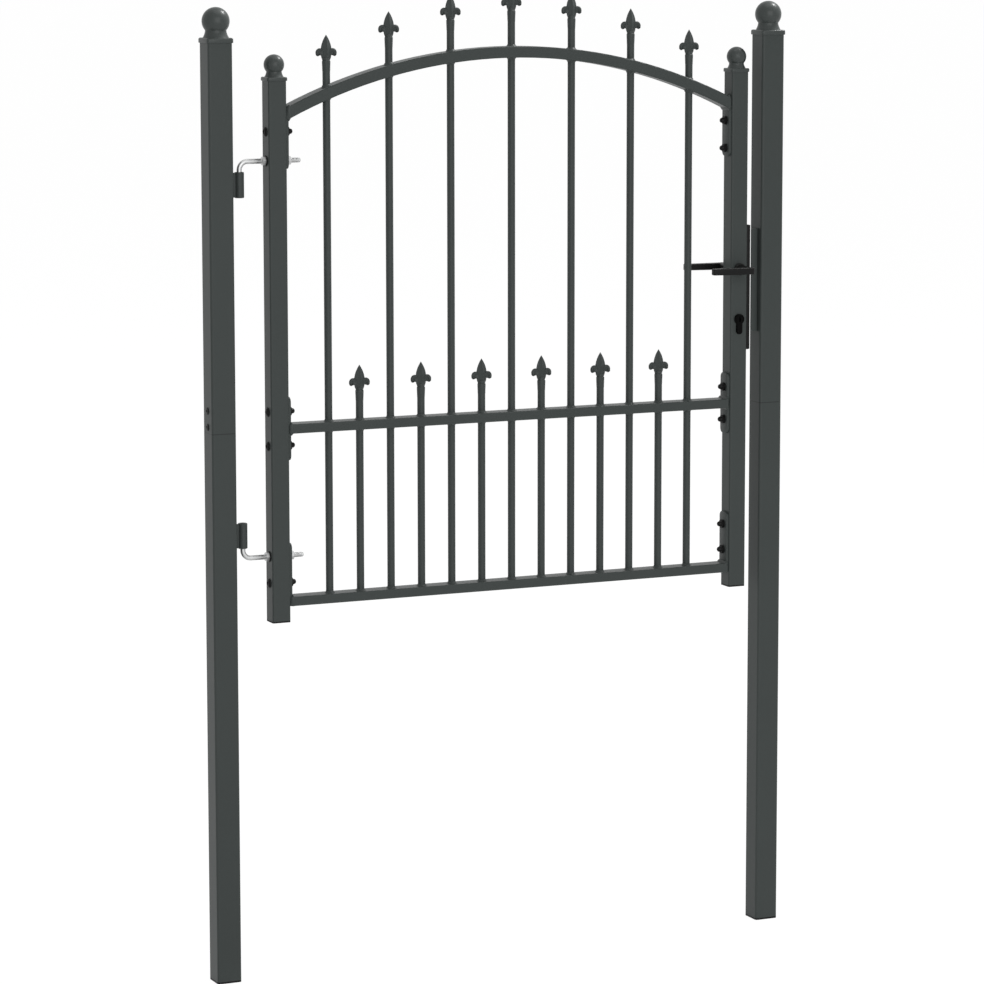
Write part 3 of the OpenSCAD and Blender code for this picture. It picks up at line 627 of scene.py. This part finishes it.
# %% Turn the barrels and weld on their webs
bore, web_thick = 4.3, 5
for name in ("upper_hinge_barrel", "lower_hinge_barrel"):
    low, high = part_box(name)
    around = high.y / mm
    tall_half = (high.z - low.z) / 2 / mm
    axis = Vector((high.x - high.y, 0, (low.z + high.z) / 2))
    tube = [(bore, -tall_half + 0.6), (bore + 0.6, -tall_half), (around - 0.8, -tall_half),
            (around, -tall_half + 0.8), (around, tall_half - 0.8), (around - 0.8, tall_half),
            (bore + 0.6, tall_half), (bore, tall_half - 0.6), (bore, -tall_half + 0.6)]
    barrel = turned(axis, tube, steps=40)
    web_end = axis.x - 5.5 * mm
    web = begin(bpy.ops.mesh.primitive_cube_add, size=1, location=((low.x + web_end) / 2, 0, axis.z),
                scale=(web_end - low.x, web_thick * mm, (tall_half * 2 - 1.6) * mm))
    pick("edges", lambda at, along: abs(along.x) > 0.9)
    bpy.ops.mesh.bevel(offset=1.2 * mm, segments=3, affect="EDGES")
    pick("faces", lambda at, normal: normal.x < -0.9)
    bpy.ops.mesh.extrude_region_move(TRANSFORM_OT_translate={"value": (0, 0, 0)})
    bpy.ops.transform.resize(value=(1, 2.1, 1.12), center_override=axis)
    bpy.ops.mesh.extrude_region_move(TRANSFORM_OT_translate={"value": (0, 0, 0)})
    bpy.ops.transform.resize(value=(1, 0.5, 0.9), center_override=axis)
    bpy.ops.transform.translate(value=(-0.2 * mm, 0, 0))
    pick("faces", lambda at, normal: abs(at.x - low.x) < 0.1 * mm and abs(normal.x) > 0.9)
    close(web)
    hand_over(join(barrel, web), name + "_welded", coat, "posts", name)
    print(name, "bore", 2 * bore, "mm")

# %% [markdown]
# ## Hinge bolts
# The bolts are bent from round bar and zinc plated: a pin that stands in the barrel, a bend, and a threaded
# end that two nuts hold in the stile. A circle is extruded along the pin, turned round the bend in small
# extruded steps, and extruded to the end. The thread is one V wound on with Screw.

# %% Bend the bolts
stile_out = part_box("hinge_stile")[0].x
plate_thick = 4
plate_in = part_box("rail_end_plates")[0].x + plate_thick * mm
rod, bend = 4.0, 13.0


def bent_bolt(name, down):
    """A J bolt whose pin points down (1) or up (-1) from the bend."""
    low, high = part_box(name)
    pin_x = low.x + rod * mm
    pin_end, line = (low.z, high.z - rod * mm) if down > 0 else (high.z, low.z + rod * mm)
    piece = begin(bpy.ops.mesh.primitive_circle_add, vertices=24, radius=(rod - 0.9) * mm, fill_type="NGON",
                  location=(pin_x, 0, pin_end))
    pick("faces", lambda at, normal: True)
    bpy.ops.mesh.extrude_region_move(TRANSFORM_OT_translate={"value": (0, 0, down * 0.9 * mm)})
    grow = rod / (rod - 0.9)
    bpy.ops.transform.resize(value=(grow, grow, 1), center_override=(pin_x, 0, 0))
    straight = abs(line - pin_end) - (0.9 + bend) * mm
    bpy.ops.mesh.extrude_region_move(TRANSFORM_OT_translate={"value": (0, 0, down * straight)})
    corner = Vector((pin_x + bend * mm, 0, line - down * bend * mm))
    steps = 12
    part_turn = -down * math.radians(90 / steps)
    for step in range(steps):
        bpy.ops.mesh.extrude_region_move(TRANSFORM_OT_translate={"value": (0, 0, 0)})
        bpy.ops.transform.rotate(value=part_turn, orient_axis="Y", center_override=corner)
    thread_from = stile_out - 9 * mm
    bpy.ops.mesh.extrude_region_move(TRANSFORM_OT_translate={"value": (thread_from - corner.x, 0, 0)})
    for along, size in ((0.5, 0.9), (high.x / mm - thread_from / mm - 1.4, 1.0), (0.9, 0.78)):
        bpy.ops.mesh.extrude_region_move(TRANSFORM_OT_translate={"value": (along * mm, 0, 0)})
        bpy.ops.transform.resize(value=(1, size, size), center_override=(0, 0, line))
    close(piece)
    pitch, deep = 1.25, 0.42
    first_turn = (thread_from + 0.6 * mm, 0, line + (rod - deep) * mm)
    ridge = begin(bpy.ops.mesh.primitive_circle_add, vertices=3, radius=deep * mm, location=first_turn,
                  rotation=(math.pi / 2, 0, 0))
    pick("verts", lambda at, normal: True)
    bpy.ops.object.mode_set(mode="OBJECT")
    alone(ridge)
    bpy.context.scene.cursor.location = (0, 0, line)
    bpy.ops.object.origin_set(type="ORIGIN_CURSOR")
    wind = ridge.modifiers.new("thread", "SCREW")
    wind.axis, wind.angle, wind.screw_offset = "X", math.radians(360), pitch * mm
    wind.iterations = int((high.x / mm - thread_from / mm - 2.4) / pitch)
    wind.steps = wind.render_steps = 18
    wind.use_merge_vertices = True
    bpy.ops.object.modifier_apply(modifier="thread")
    bpy.ops.object.transform_apply(location=True, rotation=True, scale=True)
    bpy.ops.object.mode_set(mode="EDIT")
    bpy.ops.mesh.select_mode(type="EDGE")
    bpy.ops.mesh.select_all(action="DESELECT")
    bpy.ops.mesh.select_non_manifold()
    bpy.ops.mesh.fill_holes(sides=4)
    close(ridge)
    return hand_over(join(piece, ridge), name + "_bent", zinc, "leaf", name, angle=40), line


bolts, lines = zip(*[bent_bolt("upper_hinge_bolt", 1), bent_bolt("lower_hinge_bolt", -1)])
print("bolts", [len(bolt.data.polygons) for bolt in bolts], "faces")

# %% [markdown]
# Nuts, sockets and the lock are cut with Boolean. The cutter is a body of its own, which is removed
# when its cut is applied. Half of the cutters are hexagons, so a hexagon gets a helper too.

# %% Cut one body with others


def cut(piece, *cutters, operation="DIFFERENCE"):
    """Applies a Boolean with each cutter in turn, and removes the cutters."""
    for cutter in cutters:
        alone(piece)
        made = piece.modifiers.new("cut", "BOOLEAN")
        made.operation, made.object, made.solver = operation, cutter, "EXACT"
        bpy.ops.object.modifier_apply(modifier="cut")
        alone(cutter)
        bpy.ops.object.delete()
    return piece


def hexagon(middle, corner, thick):
    """A six-sided block on an X axis; corner is its radius over the corners in mm."""
    piece = begin(bpy.ops.mesh.primitive_cylinder_add, vertices=6, radius=corner * mm, depth=thick * mm,
                  location=middle, rotation=(0, math.pi / 2, 0))
    bpy.ops.object.mode_set(mode="OBJECT")
    return piece


print("cutter ready")

# %% [markdown]
# A hexagon nut is a six-sided block whose corners are cut back by a cone on each face. What is left
# is the part of the block inside a turned body. Each nut sits on a black washer.

# %% Hexagon nuts and washers


def hex_nut(seat, across_flats, thick, side):
    """A nut on an X axis whose seat is at a point; side says which way its free face looks."""
    corner = across_flats / 2 / math.cos(math.radians(30))
    blank = hexagon(seat + Vector((side * thick / 2 * mm, 0, 0)), corner, thick)
    flat, slope = across_flats / 2 * 0.95, 0.75
    cone = turned(seat, [(0, 0), (flat, 0), (corner + 0.3, slope), (corner + 0.3, thick - slope),
                         (flat, thick), (0, thick)], steps=36, axis="X", side=side)
    return cut(blank, cone, operation="INTERSECT")


washer = 1.3
ring = [(4.2, 0), (8.3, 0), (8.6, 0.3), (8.6, 1.0), (8.3, washer), (4.2, washer), (4.2, 0)]
nuts, washers = [], []
for line in lines:
    for x, side in ((stile_out, -1), (plate_in, 1)):
        at = Vector((x, 0, line))
        nuts.append(hex_nut(at + Vector((side * washer * mm, 0, 0)), 13, 5.2, side))
        washers.append(turned(at, ring, steps=36, axis="X", side=side))
hand_over(join(*nuts), "hinge_bolt_nuts", zinc, "leaf", "hinge_nuts")
hand_over(join(*washers), "hinge_bolt_washers", black_metal, "leaf", "hinge_nuts")
print("nuts", len(nuts))

# %% [markdown]
# ## Button heads and dome nuts
# The rails are bolted to the stiles. A button-head bolt shows on the outside, with a hexagon
# socket, and a black dome nut on a washer closes it on the inside. The bolts that join the two
# tubes of a post have a flatter and smaller head. Each is modelled once and copied.

# %% One button head and its copies


def button_head(middle, side, radius, high):
    """A domed head with a hexagon socket on an X axis; side says which way it faces."""
    dome = ((0, 0), (0.96, 0), (1.0, 0.12), (0.985, 0.26), (0.91, 0.52), (0.79, 0.75), (0.63, 0.92),
            (0.47, 0.99), (0, 0.99))
    head = turned(middle, [(radius * out, side * high * up) for out, up in dome], steps=32, axis="X")
    key = hexagon(middle + Vector((side * high * 0.95 * mm, 0, 0)), radius * 0.4, high * 0.9)
    return cut(head, key)


def row_copies(first, rows):
    """The first piece of a row with its copies, one at each height in mm."""
    return [first] + copy_to(first, *[(0, 0, (row - rows[0]) * mm) for row in rows[1:]])


latch_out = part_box("latch_stile")[1].x
hinge_rows, latch_rows = (632, 849, 903, 1340), (632, 674.5, 849, 903, 1295, 1340)
frame_head, joint_head = (7.5, 3.4), (6.0, 1.6)
left_head = button_head(Vector((stile_out, 0, hinge_rows[0] * mm)), -1, *frame_head)
left_heads = row_copies(left_head, hinge_rows)
right_head = button_head(Vector((latch_out, 0, latch_rows[0] * mm)), 1, *frame_head)
right_heads = row_copies(right_head, latch_rows)
post_left, post_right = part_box("hinge_post_lower")[0].x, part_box("latch_post_lower")[1].x
joint_rows = (884.5, 910)
joint_heads = [button_head(Vector((x, 0, row * mm)), side, *joint_head)
               for x, side in ((post_left, -1), (post_right, 1)) for row in joint_rows]
hand_over(join(*left_heads, *right_heads), "frame_button_heads", black_metal, "leaf", "frame_bolts")
hand_over(join(*joint_heads), "joint_button_heads", black_metal, "posts", "post_joint_bolts")
print("heads", len(left_heads + right_heads + joint_heads))

# %% [markdown]
# A dome nut covers the end of its bolt. It is a hexagon with cut-back corners between a washer and a
# turned dome. The nuts stand opposite the heads, so they are copied to the same rows.

# %% One dome nut and its copies


def dome_nut(middle, side):
    """A washer, a chamfered hexagon and a dome, on an X axis."""
    flat = 6.5
    corner = flat / math.cos(math.radians(30))
    nut = hexagon(middle + Vector((side * 2.8 * mm, 0, 0)), corner, 3.6)
    cone = turned(middle, [(0, 1.0), (flat - 0.2, 1.0), (corner + 0.2, 1.6), (corner + 0.2, 3.9),
                           (flat - 0.2, 4.6), (0, 4.6)], steps=36, axis="X", side=side)
    cut(nut, cone, operation="INTERSECT")
    dome = turned(middle, [(4.6, 4.4), (4.3, 5.1), (4.2, 7.2), (3.9, 8.4), (3.2, 9.5), (2.1, 10.2),
                           (1.0, 10.45), (0, 10.5)], steps=32, axis="X", side=side)
    ring = turned(middle, [(0, 0), (6.8, 0), (7.0, 0.3), (7.0, 0.9), (6.8, 1.2), (0, 1.2)],
                  steps=32, axis="X", side=side)
    return join(nut, dome, ring)


plate_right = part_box("rail_end_plates")[1].x - plate_thick * mm
left_nut = dome_nut(Vector((plate_in, 0, hinge_rows[0] * mm)), 1)
nuts = row_copies(left_nut, hinge_rows)
right_nut = dome_nut(Vector((plate_right, 0, latch_rows[0] * mm)), -1)
nuts += row_copies(right_nut, latch_rows)
hand_over(join(*nuts), "dome_nuts", black_metal, "leaf", "frame_nuts")
print("dome nuts", len(nuts))

# %% [markdown]
# ## Plates at the rail ends
# Each rail ends in an upright plate with round corners that is bolted to the stile. The plates are
# cut from strip with a slightly broken edge, and a weld runs round the rail where it meets them.

# %% Cut the plates
plates_low, plates_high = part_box("rail_end_plates")
plate_rows = ((595, 695), (826, 926), (1282, 1382))
plates = []
for x in (plates_low.x + plate_thick / 2 * mm, plates_high.x - plate_thick / 2 * mm):
    for low_z, high_z in plate_rows:
        plate = begin(bpy.ops.mesh.primitive_cube_add, size=1, location=(x, 0, (low_z + high_z) / 2 * mm),
                      scale=(plate_thick * mm, plates_high.y * 2, (high_z - low_z) * mm))
        pick("edges", lambda at, along: abs(along.x) > 0.9)
        bpy.ops.mesh.bevel(offset=8 * mm, segments=7, affect="EDGES")
        half = plate_thick / 2 * mm
        pick("edges", lambda at, along: abs(abs(at.x - x) - half) < 0.05 * mm and abs(along.x) < 0.1)
        bpy.ops.mesh.bevel(offset=0.5 * mm, segments=2, affect="EDGES")
        plates.append(close(plate))
hand_over(join(*plates), "end_plates_cut", coat, "leaf", "rail_end_plates")
print("plates", len(plates))

# %% [markdown]
# The rails are welded to their plates all round. A bead grows from the plate to its full leg and
# then falls to the rail: a block whose outer face is scaled, extruded and scaled again. On the arch
# each step also moves along the slope, and the bottom rail has almost no bead under it.

# %% Weld the rails to their plates


def end_weld(face, side, rail_low, rail_high, slope=0.0, under=3.0, over=3.0):
    """A bead round the end of a rail in mm; side says which way the rail runs from the plate."""
    tall, middle = rail_high - rail_low, (rail_low + rail_high) / 2
    full, shift = tall + under + over, (over - under) / 2
    back, root, reach = 1.65, 3.9, 2.9
    start_z = (middle - slope * back) * mm
    bead = begin(bpy.ops.mesh.primitive_cube_add, size=1, location=(face - side * back * mm, 0, start_z),
                 scale=(root * mm, 25.2 * mm, tall * mm))
    pick("faces", lambda at, normal: normal.x * side > 0.9)
    bpy.ops.transform.resize(value=(1, 15.4 / 12.6, full / tall), center_override=(face, 0, start_z))
    bpy.ops.transform.translate(value=(0, 0, (slope * root / 2 + shift) * mm))
    step = (side * reach * mm, 0, (slope * reach - shift) * mm)
    bpy.ops.mesh.extrude_region_move(TRANSFORM_OT_translate={"value": step})
    bpy.ops.transform.resize(value=(1, 15.1 / 15.4, (tall + 0.3) / full),
                             center_override=(face, 0, (middle + slope * (reach + 0.3)) * mm))
    pick("edges", lambda at, way: abs(way.x) > 0.5)
    bpy.ops.mesh.bevel(offset=2.0 * mm, segments=3, affect="EDGES")
    return close(bead)


rail_ends = ((595, 610, 0, 0.2, 3), (868.5, 883.5, 0, 3, 3), (1359.3, 1379.3, 0.48, 3, 2))
faces = ((plate_in, 1), (plate_right, -1))
welds = [end_weld(face, side, *rail) for face, side in faces for rail in rail_ends]
hand_over(join(*welds), "rail_end_welds", coat, "leaf", angle=50)
print("end welds", len(welds))

# %% [markdown]
# ## Lock
# The lock is made of flat strips and square bolts, so most of it starts as a block between two
# corners. Each block gets its edges broken, because no real edge is sharp.

# %% A block between two corners


def block(low, high, bevel=0.0, segments=2, along="xyz"):
    """A block between two corners in metres, with its edges along the named axes bevelled in mm."""
    low, high = Vector(low), Vector(high)
    piece = begin(bpy.ops.mesh.primitive_cube_add, size=1, location=(low + high) / 2, scale=high - low)
    if bevel:
        pick("edges", lambda at, way: any(abs(way["xyz".index(axis)]) > 0.9 for axis in along))
        bpy.ops.mesh.bevel(offset=bevel * mm, segments=segments, affect="EDGES")
    return close(piece)


print("block ready")

# %% [markdown]
# The lock sits in the stile. Only its forend shows in the gap: a black strip with a face plate
# on it, two countersunk screws, and the ends of the latch and the dead bolt. The openings are cut
# with Boolean, so that a fine shadow line is left round each bolt.

# %% Forend, face plate, latch and dead bolt
case_low, case_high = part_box("lock_case")
bolt_low, bolt_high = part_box("lock_bolts")
face = case_high.x - 2 * mm
edge = block((latch_out, case_low.y, case_low.z), (face, case_high.y, case_high.z), 0.5)
plate_low = Vector((face, case_low.y + 0.5 * mm, case_low.z + 0.5 * mm))
plate_high = case_high - Vector((0, 0.5, 0.5)) * mm
face_plate = block(plate_low, plate_high, 0.45)
latch_z, dead_z = (1109, 1133), (1039.7, 1069.7)
openings, bolts = [], []
for low_z, high_z in (latch_z, dead_z):
    for gap, group, inside, outside, soft in ((0.5, openings, 6, 5, 0), (0, bolts, 3, 2.6, 0.6)):
        low_end = (face - inside * mm, bolt_low.y - gap * mm, (low_z - gap) * mm)
        high_end = (face + outside * mm, bolt_high.y + gap * mm, (high_z + gap) * mm)
        group.append(block(low_end, high_end, soft))
screws = []
for z in (case_low.z + 9 * mm, case_high.z - 9 * mm):
    at = Vector((case_high.x, 0, z))
    openings.append(turned(at, [(0, -2.2), (2.6, -2.2), (4.9, 0.2), (4.9, 1), (0, 1)], steps=28, axis="X"))
    screw = turned(at, [(0, -2.4), (2.5, -2.4), (4.6, -0.25), (4.3, -0.05), (0, 0.0)], steps=28, axis="X")
    slots = [block(at + Vector((-1.2, -half_y, -half_z)) * mm, at + Vector((1, half_y, half_z)) * mm)
             for half_y, half_z in ((0.45, 2.6), (2.6, 0.45))]
    screws.append(cut(screw, *slots))
cut(face_plate, *openings)
hand_over(join(edge, face_plate), "forend_strip", black_metal, "leaf", "lock_case")
hand_over(join(*screws), "forend_screws", zinc, "leaf", "lock_case")
hand_over(join(*bolts), "latch_and_dead_bolt", zinc, "leaf", "lock_bolts")
print("lock face", round((plate_high.z - plate_low.z) / mm), "mm tall")

# %% [markdown]
# The key turns in a profile cylinder, a round body with a straight tail under it. It shows on both
# sides of the stile, with the plug and its keyway in the round part.

# %% Key cylinder
cylinder_low, cylinder_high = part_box("lock_cylinder")
cylinder_mid = (cylinder_low.x + cylinder_high.x) / 2
round_radius = (cylinder_high.x - cylinder_low.x) / 2 / mm
round_z = cylinder_high.z - round_radius * mm
stile_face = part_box("latch_stile")[1].y


def cylinder_end(side):
    """The part of the cylinder that stands out of one face of the stile."""
    reach = (cylinder_high.y - stile_face) / mm
    at = Vector((cylinder_mid, side * stile_face, round_z))
    body = [(0, -2), (round_radius, -2), (round_radius, reach - 0.7), (round_radius - 0.7, reach)]
    groove = reach - 0.5
    plug = [(6.6, reach), (6.5, groove), (6.1, groove), (6.0, reach - 0.1), (5.6, reach), (0, reach)]
    barrel = turned(at, body + plug, steps=40, axis="Y", side=side)
    tail_half = 5 * mm
    ends = sorted((side * (stile_face - 2 * mm), side * cylinder_high.y))
    tail = begin(bpy.ops.mesh.primitive_cube_add, size=1,
                 location=(cylinder_mid, sum(ends) / 2, (round_z + cylinder_low.z) / 2),
                 scale=(2 * tail_half, ends[1] - ends[0], round_z - cylinder_low.z))
    pick("edges", lambda middle, way: abs(way.y) > 0.9 and middle.z < cylinder_low.z + mm)
    bpy.ops.mesh.bevel(offset=4.8 * mm, segments=8, affect="EDGES")
    pick("edges", lambda middle, way: abs(middle.y - side * cylinder_high.y) < 0.05 * mm)
    bpy.ops.mesh.bevel(offset=0.7 * mm, segments=2, affect="EDGES")
    close(tail)
    cut(barrel, tail, operation="UNION")
    out = side * cylinder_high.y
    inner, outer = sorted((out - side * 4 * mm, out + side * mm))
    keyway = [block((cylinder_mid - left * mm, inner, round_z + low_z * mm),
                    (cylinder_mid + right * mm, outer, round_z + high_z * mm))
              for left, right, low_z, high_z in ((1.1, 1.1, -4.4, 4.4), (1.1, 2.0, -1.2, 0.6))]
    return cut(barrel, *keyway)


cylinder = join(cylinder_end(-1), cylinder_end(1))
hand_over(cylinder, "key_cylinder", shaded_cylinder_black, "leaf", "lock_cylinder", angle=30)
print("cylinder", round(round_radius * 2, 1), "mm round")

# %% [markdown]
# ## Levers
# A lever is a square arm that grows a little thinner towards its free end, with a rounded outer
# corner and a round neck that stands on the stile. The arm is a block that is cut across where it
# starts to taper, lifted at the lower end and bevelled.

# %% Front lever, and its mirror twin at the back


def lever(name, side):
    low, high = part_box(name)
    middle_z, thick, taper = (low.z + high.z) / 2, 11 * mm, 42 * mm
    out = low.y if side < 0 else high.y
    into = out - side * thick
    arm = begin(bpy.ops.mesh.primitive_cube_add, size=1, scale=(high.x - low.x, thick, thick),
                location=((low.x + high.x) / 2, (out + into) / 2, middle_z))
    bpy.ops.mesh.bisect(plane_co=(low.x + taper, 0, 0), plane_no=(1, 0, 0))
    pick("verts", lambda at, up: at.x < low.x + mm and at.z < middle_z)
    bpy.ops.transform.translate(value=(0, 0, 0.8 * mm))
    pick("edges", lambda at, way: abs(way.z) > 0.9 and at.x > high.x - mm and abs(at.y - out) < mm)
    bpy.ops.mesh.bevel(offset=6.8 * mm, segments=10, affect="EDGES")
    pick("edges", lambda at, way: abs(way.z) > 0.9 and at.x < low.x + mm)
    bpy.ops.mesh.bevel(offset=2.0 * mm, segments=4, affect="EDGES")
    pick("edges", lambda at, way: abs(way.z) < 0.5 and not abs(at.x - low.x - taper) < 0.1 * mm)
    bpy.ops.mesh.bevel(offset=1.2 * mm, segments=3, affect="EDGES")
    close(arm)
    foot = abs(low.y if side > 0 else high.y)
    to_arm = (abs(into) - foot) / mm + 3
    neck = turned(Vector((latch_middle, side * foot, middle_z)),
                  [(0, 0), (9.4, 0), (9.8, 0.4), (9.8, 3.0), (9.4, 3.5), (8.0, 3.9), (7.4, 5.5),
                   (6.4, to_arm), (0, to_arm)], steps=36, axis="Y", side=side)
    return hand_over(join(arm, neck), name + "_bent", black_metal, "handle", name, angle=34)


stile_low, stile_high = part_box("latch_stile")
latch_middle = (stile_low.x + stile_high.x) / 2
for name, side in (("front_lever", -1), ("back_lever", 1)):
    piece = lever(name, side)
    print(piece.name, [round(v / mm) for v in piece.dimensions], "mm")

# %% [markdown]
# ## Strike plate
# The strike is a strip that is bent to an angle: one leg lies on the post, with two openings for
# the bolts, and the lip stands in front of the leaf as a stop.

# %% Bend the strike
strike_low, strike_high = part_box("strike_plate")
sheet = 1.5 * mm
leg = block((strike_high.x - sheet, strike_low.y, strike_low.z), strike_high)
alone(leg)
bpy.ops.object.mode_set(mode="EDIT")
bpy.ops.mesh.select_all(action="SELECT")
bpy.ops.mesh.bisect(plane_co=(0, strike_low.y + sheet, 0), plane_no=(0, 1, 0))
pick("faces", lambda at, normal: normal.x < -0.9 and at.y < strike_low.y + sheet)
lip = strike_low.x - (strike_high.x - sheet)
bpy.ops.mesh.extrude_region_move(TRANSFORM_OT_translate={"value": (lip, 0, 0)})
near = 0.1 * mm
pick("edges", lambda at, way: abs(way.z) > 0.9 and at.y < strike_low.y + near and at.x > strike_high.x - near)
bpy.ops.mesh.bevel(offset=1.3 * mm, segments=5, affect="EDGES")
pick("edges", lambda at, way: abs(way.y) > 0.9 and at.x < strike_low.x + near)
bpy.ops.mesh.bevel(offset=2.5 * mm, segments=4, affect="EDGES")
close(leg)
room = 2
keeps = [block((strike_high.x - 4 * mm, -6 * mm, (low_z - room) * mm),
               (strike_high.x + 2 * mm, 7 * mm, (high_z + room) * mm), 1.2, 3, "x")
         for low_z, high_z in (latch_z, dead_z)]
screw_rows = (strike_low.z + 12 * mm, strike_high.z - 12 * mm)
at_screws = [Vector((strike_high.x - sheet, 3 * mm, row)) for row in screw_rows]
countersink = [(0, 3), (2.0, 3), (4.4, -0.1), (4.4, -1), (0, -1)]
holes = [turned(at, countersink, steps=24, axis="X") for at in at_screws]
cut(leg, *keeps, *holes)
hand_over(leg, "strike_bent", coat, "posts", "strike_plate", angle=30)
strike_screws = []
for at in at_screws:
    screw = turned(at, [(0, 1.2), (2.4, 1.2), (4.0, 0.1), (3.6, 0), (0, 0)], steps=24, axis="X")
    slots = [block(at + Vector((-1, -half_y, -half_z)) * mm, at + Vector((0.8, half_y, half_z)) * mm)
             for half_y, half_z in ((0.4, 2.2), (2.2, 0.4))]
    strike_screws.append(cut(screw, *slots))
hand_over(join(*strike_screws), "strike_screws", black_metal, "posts", "strike_plate")
print("strike", [round(v / mm) for v in leg.dimensions], "mm")

# %% [markdown]
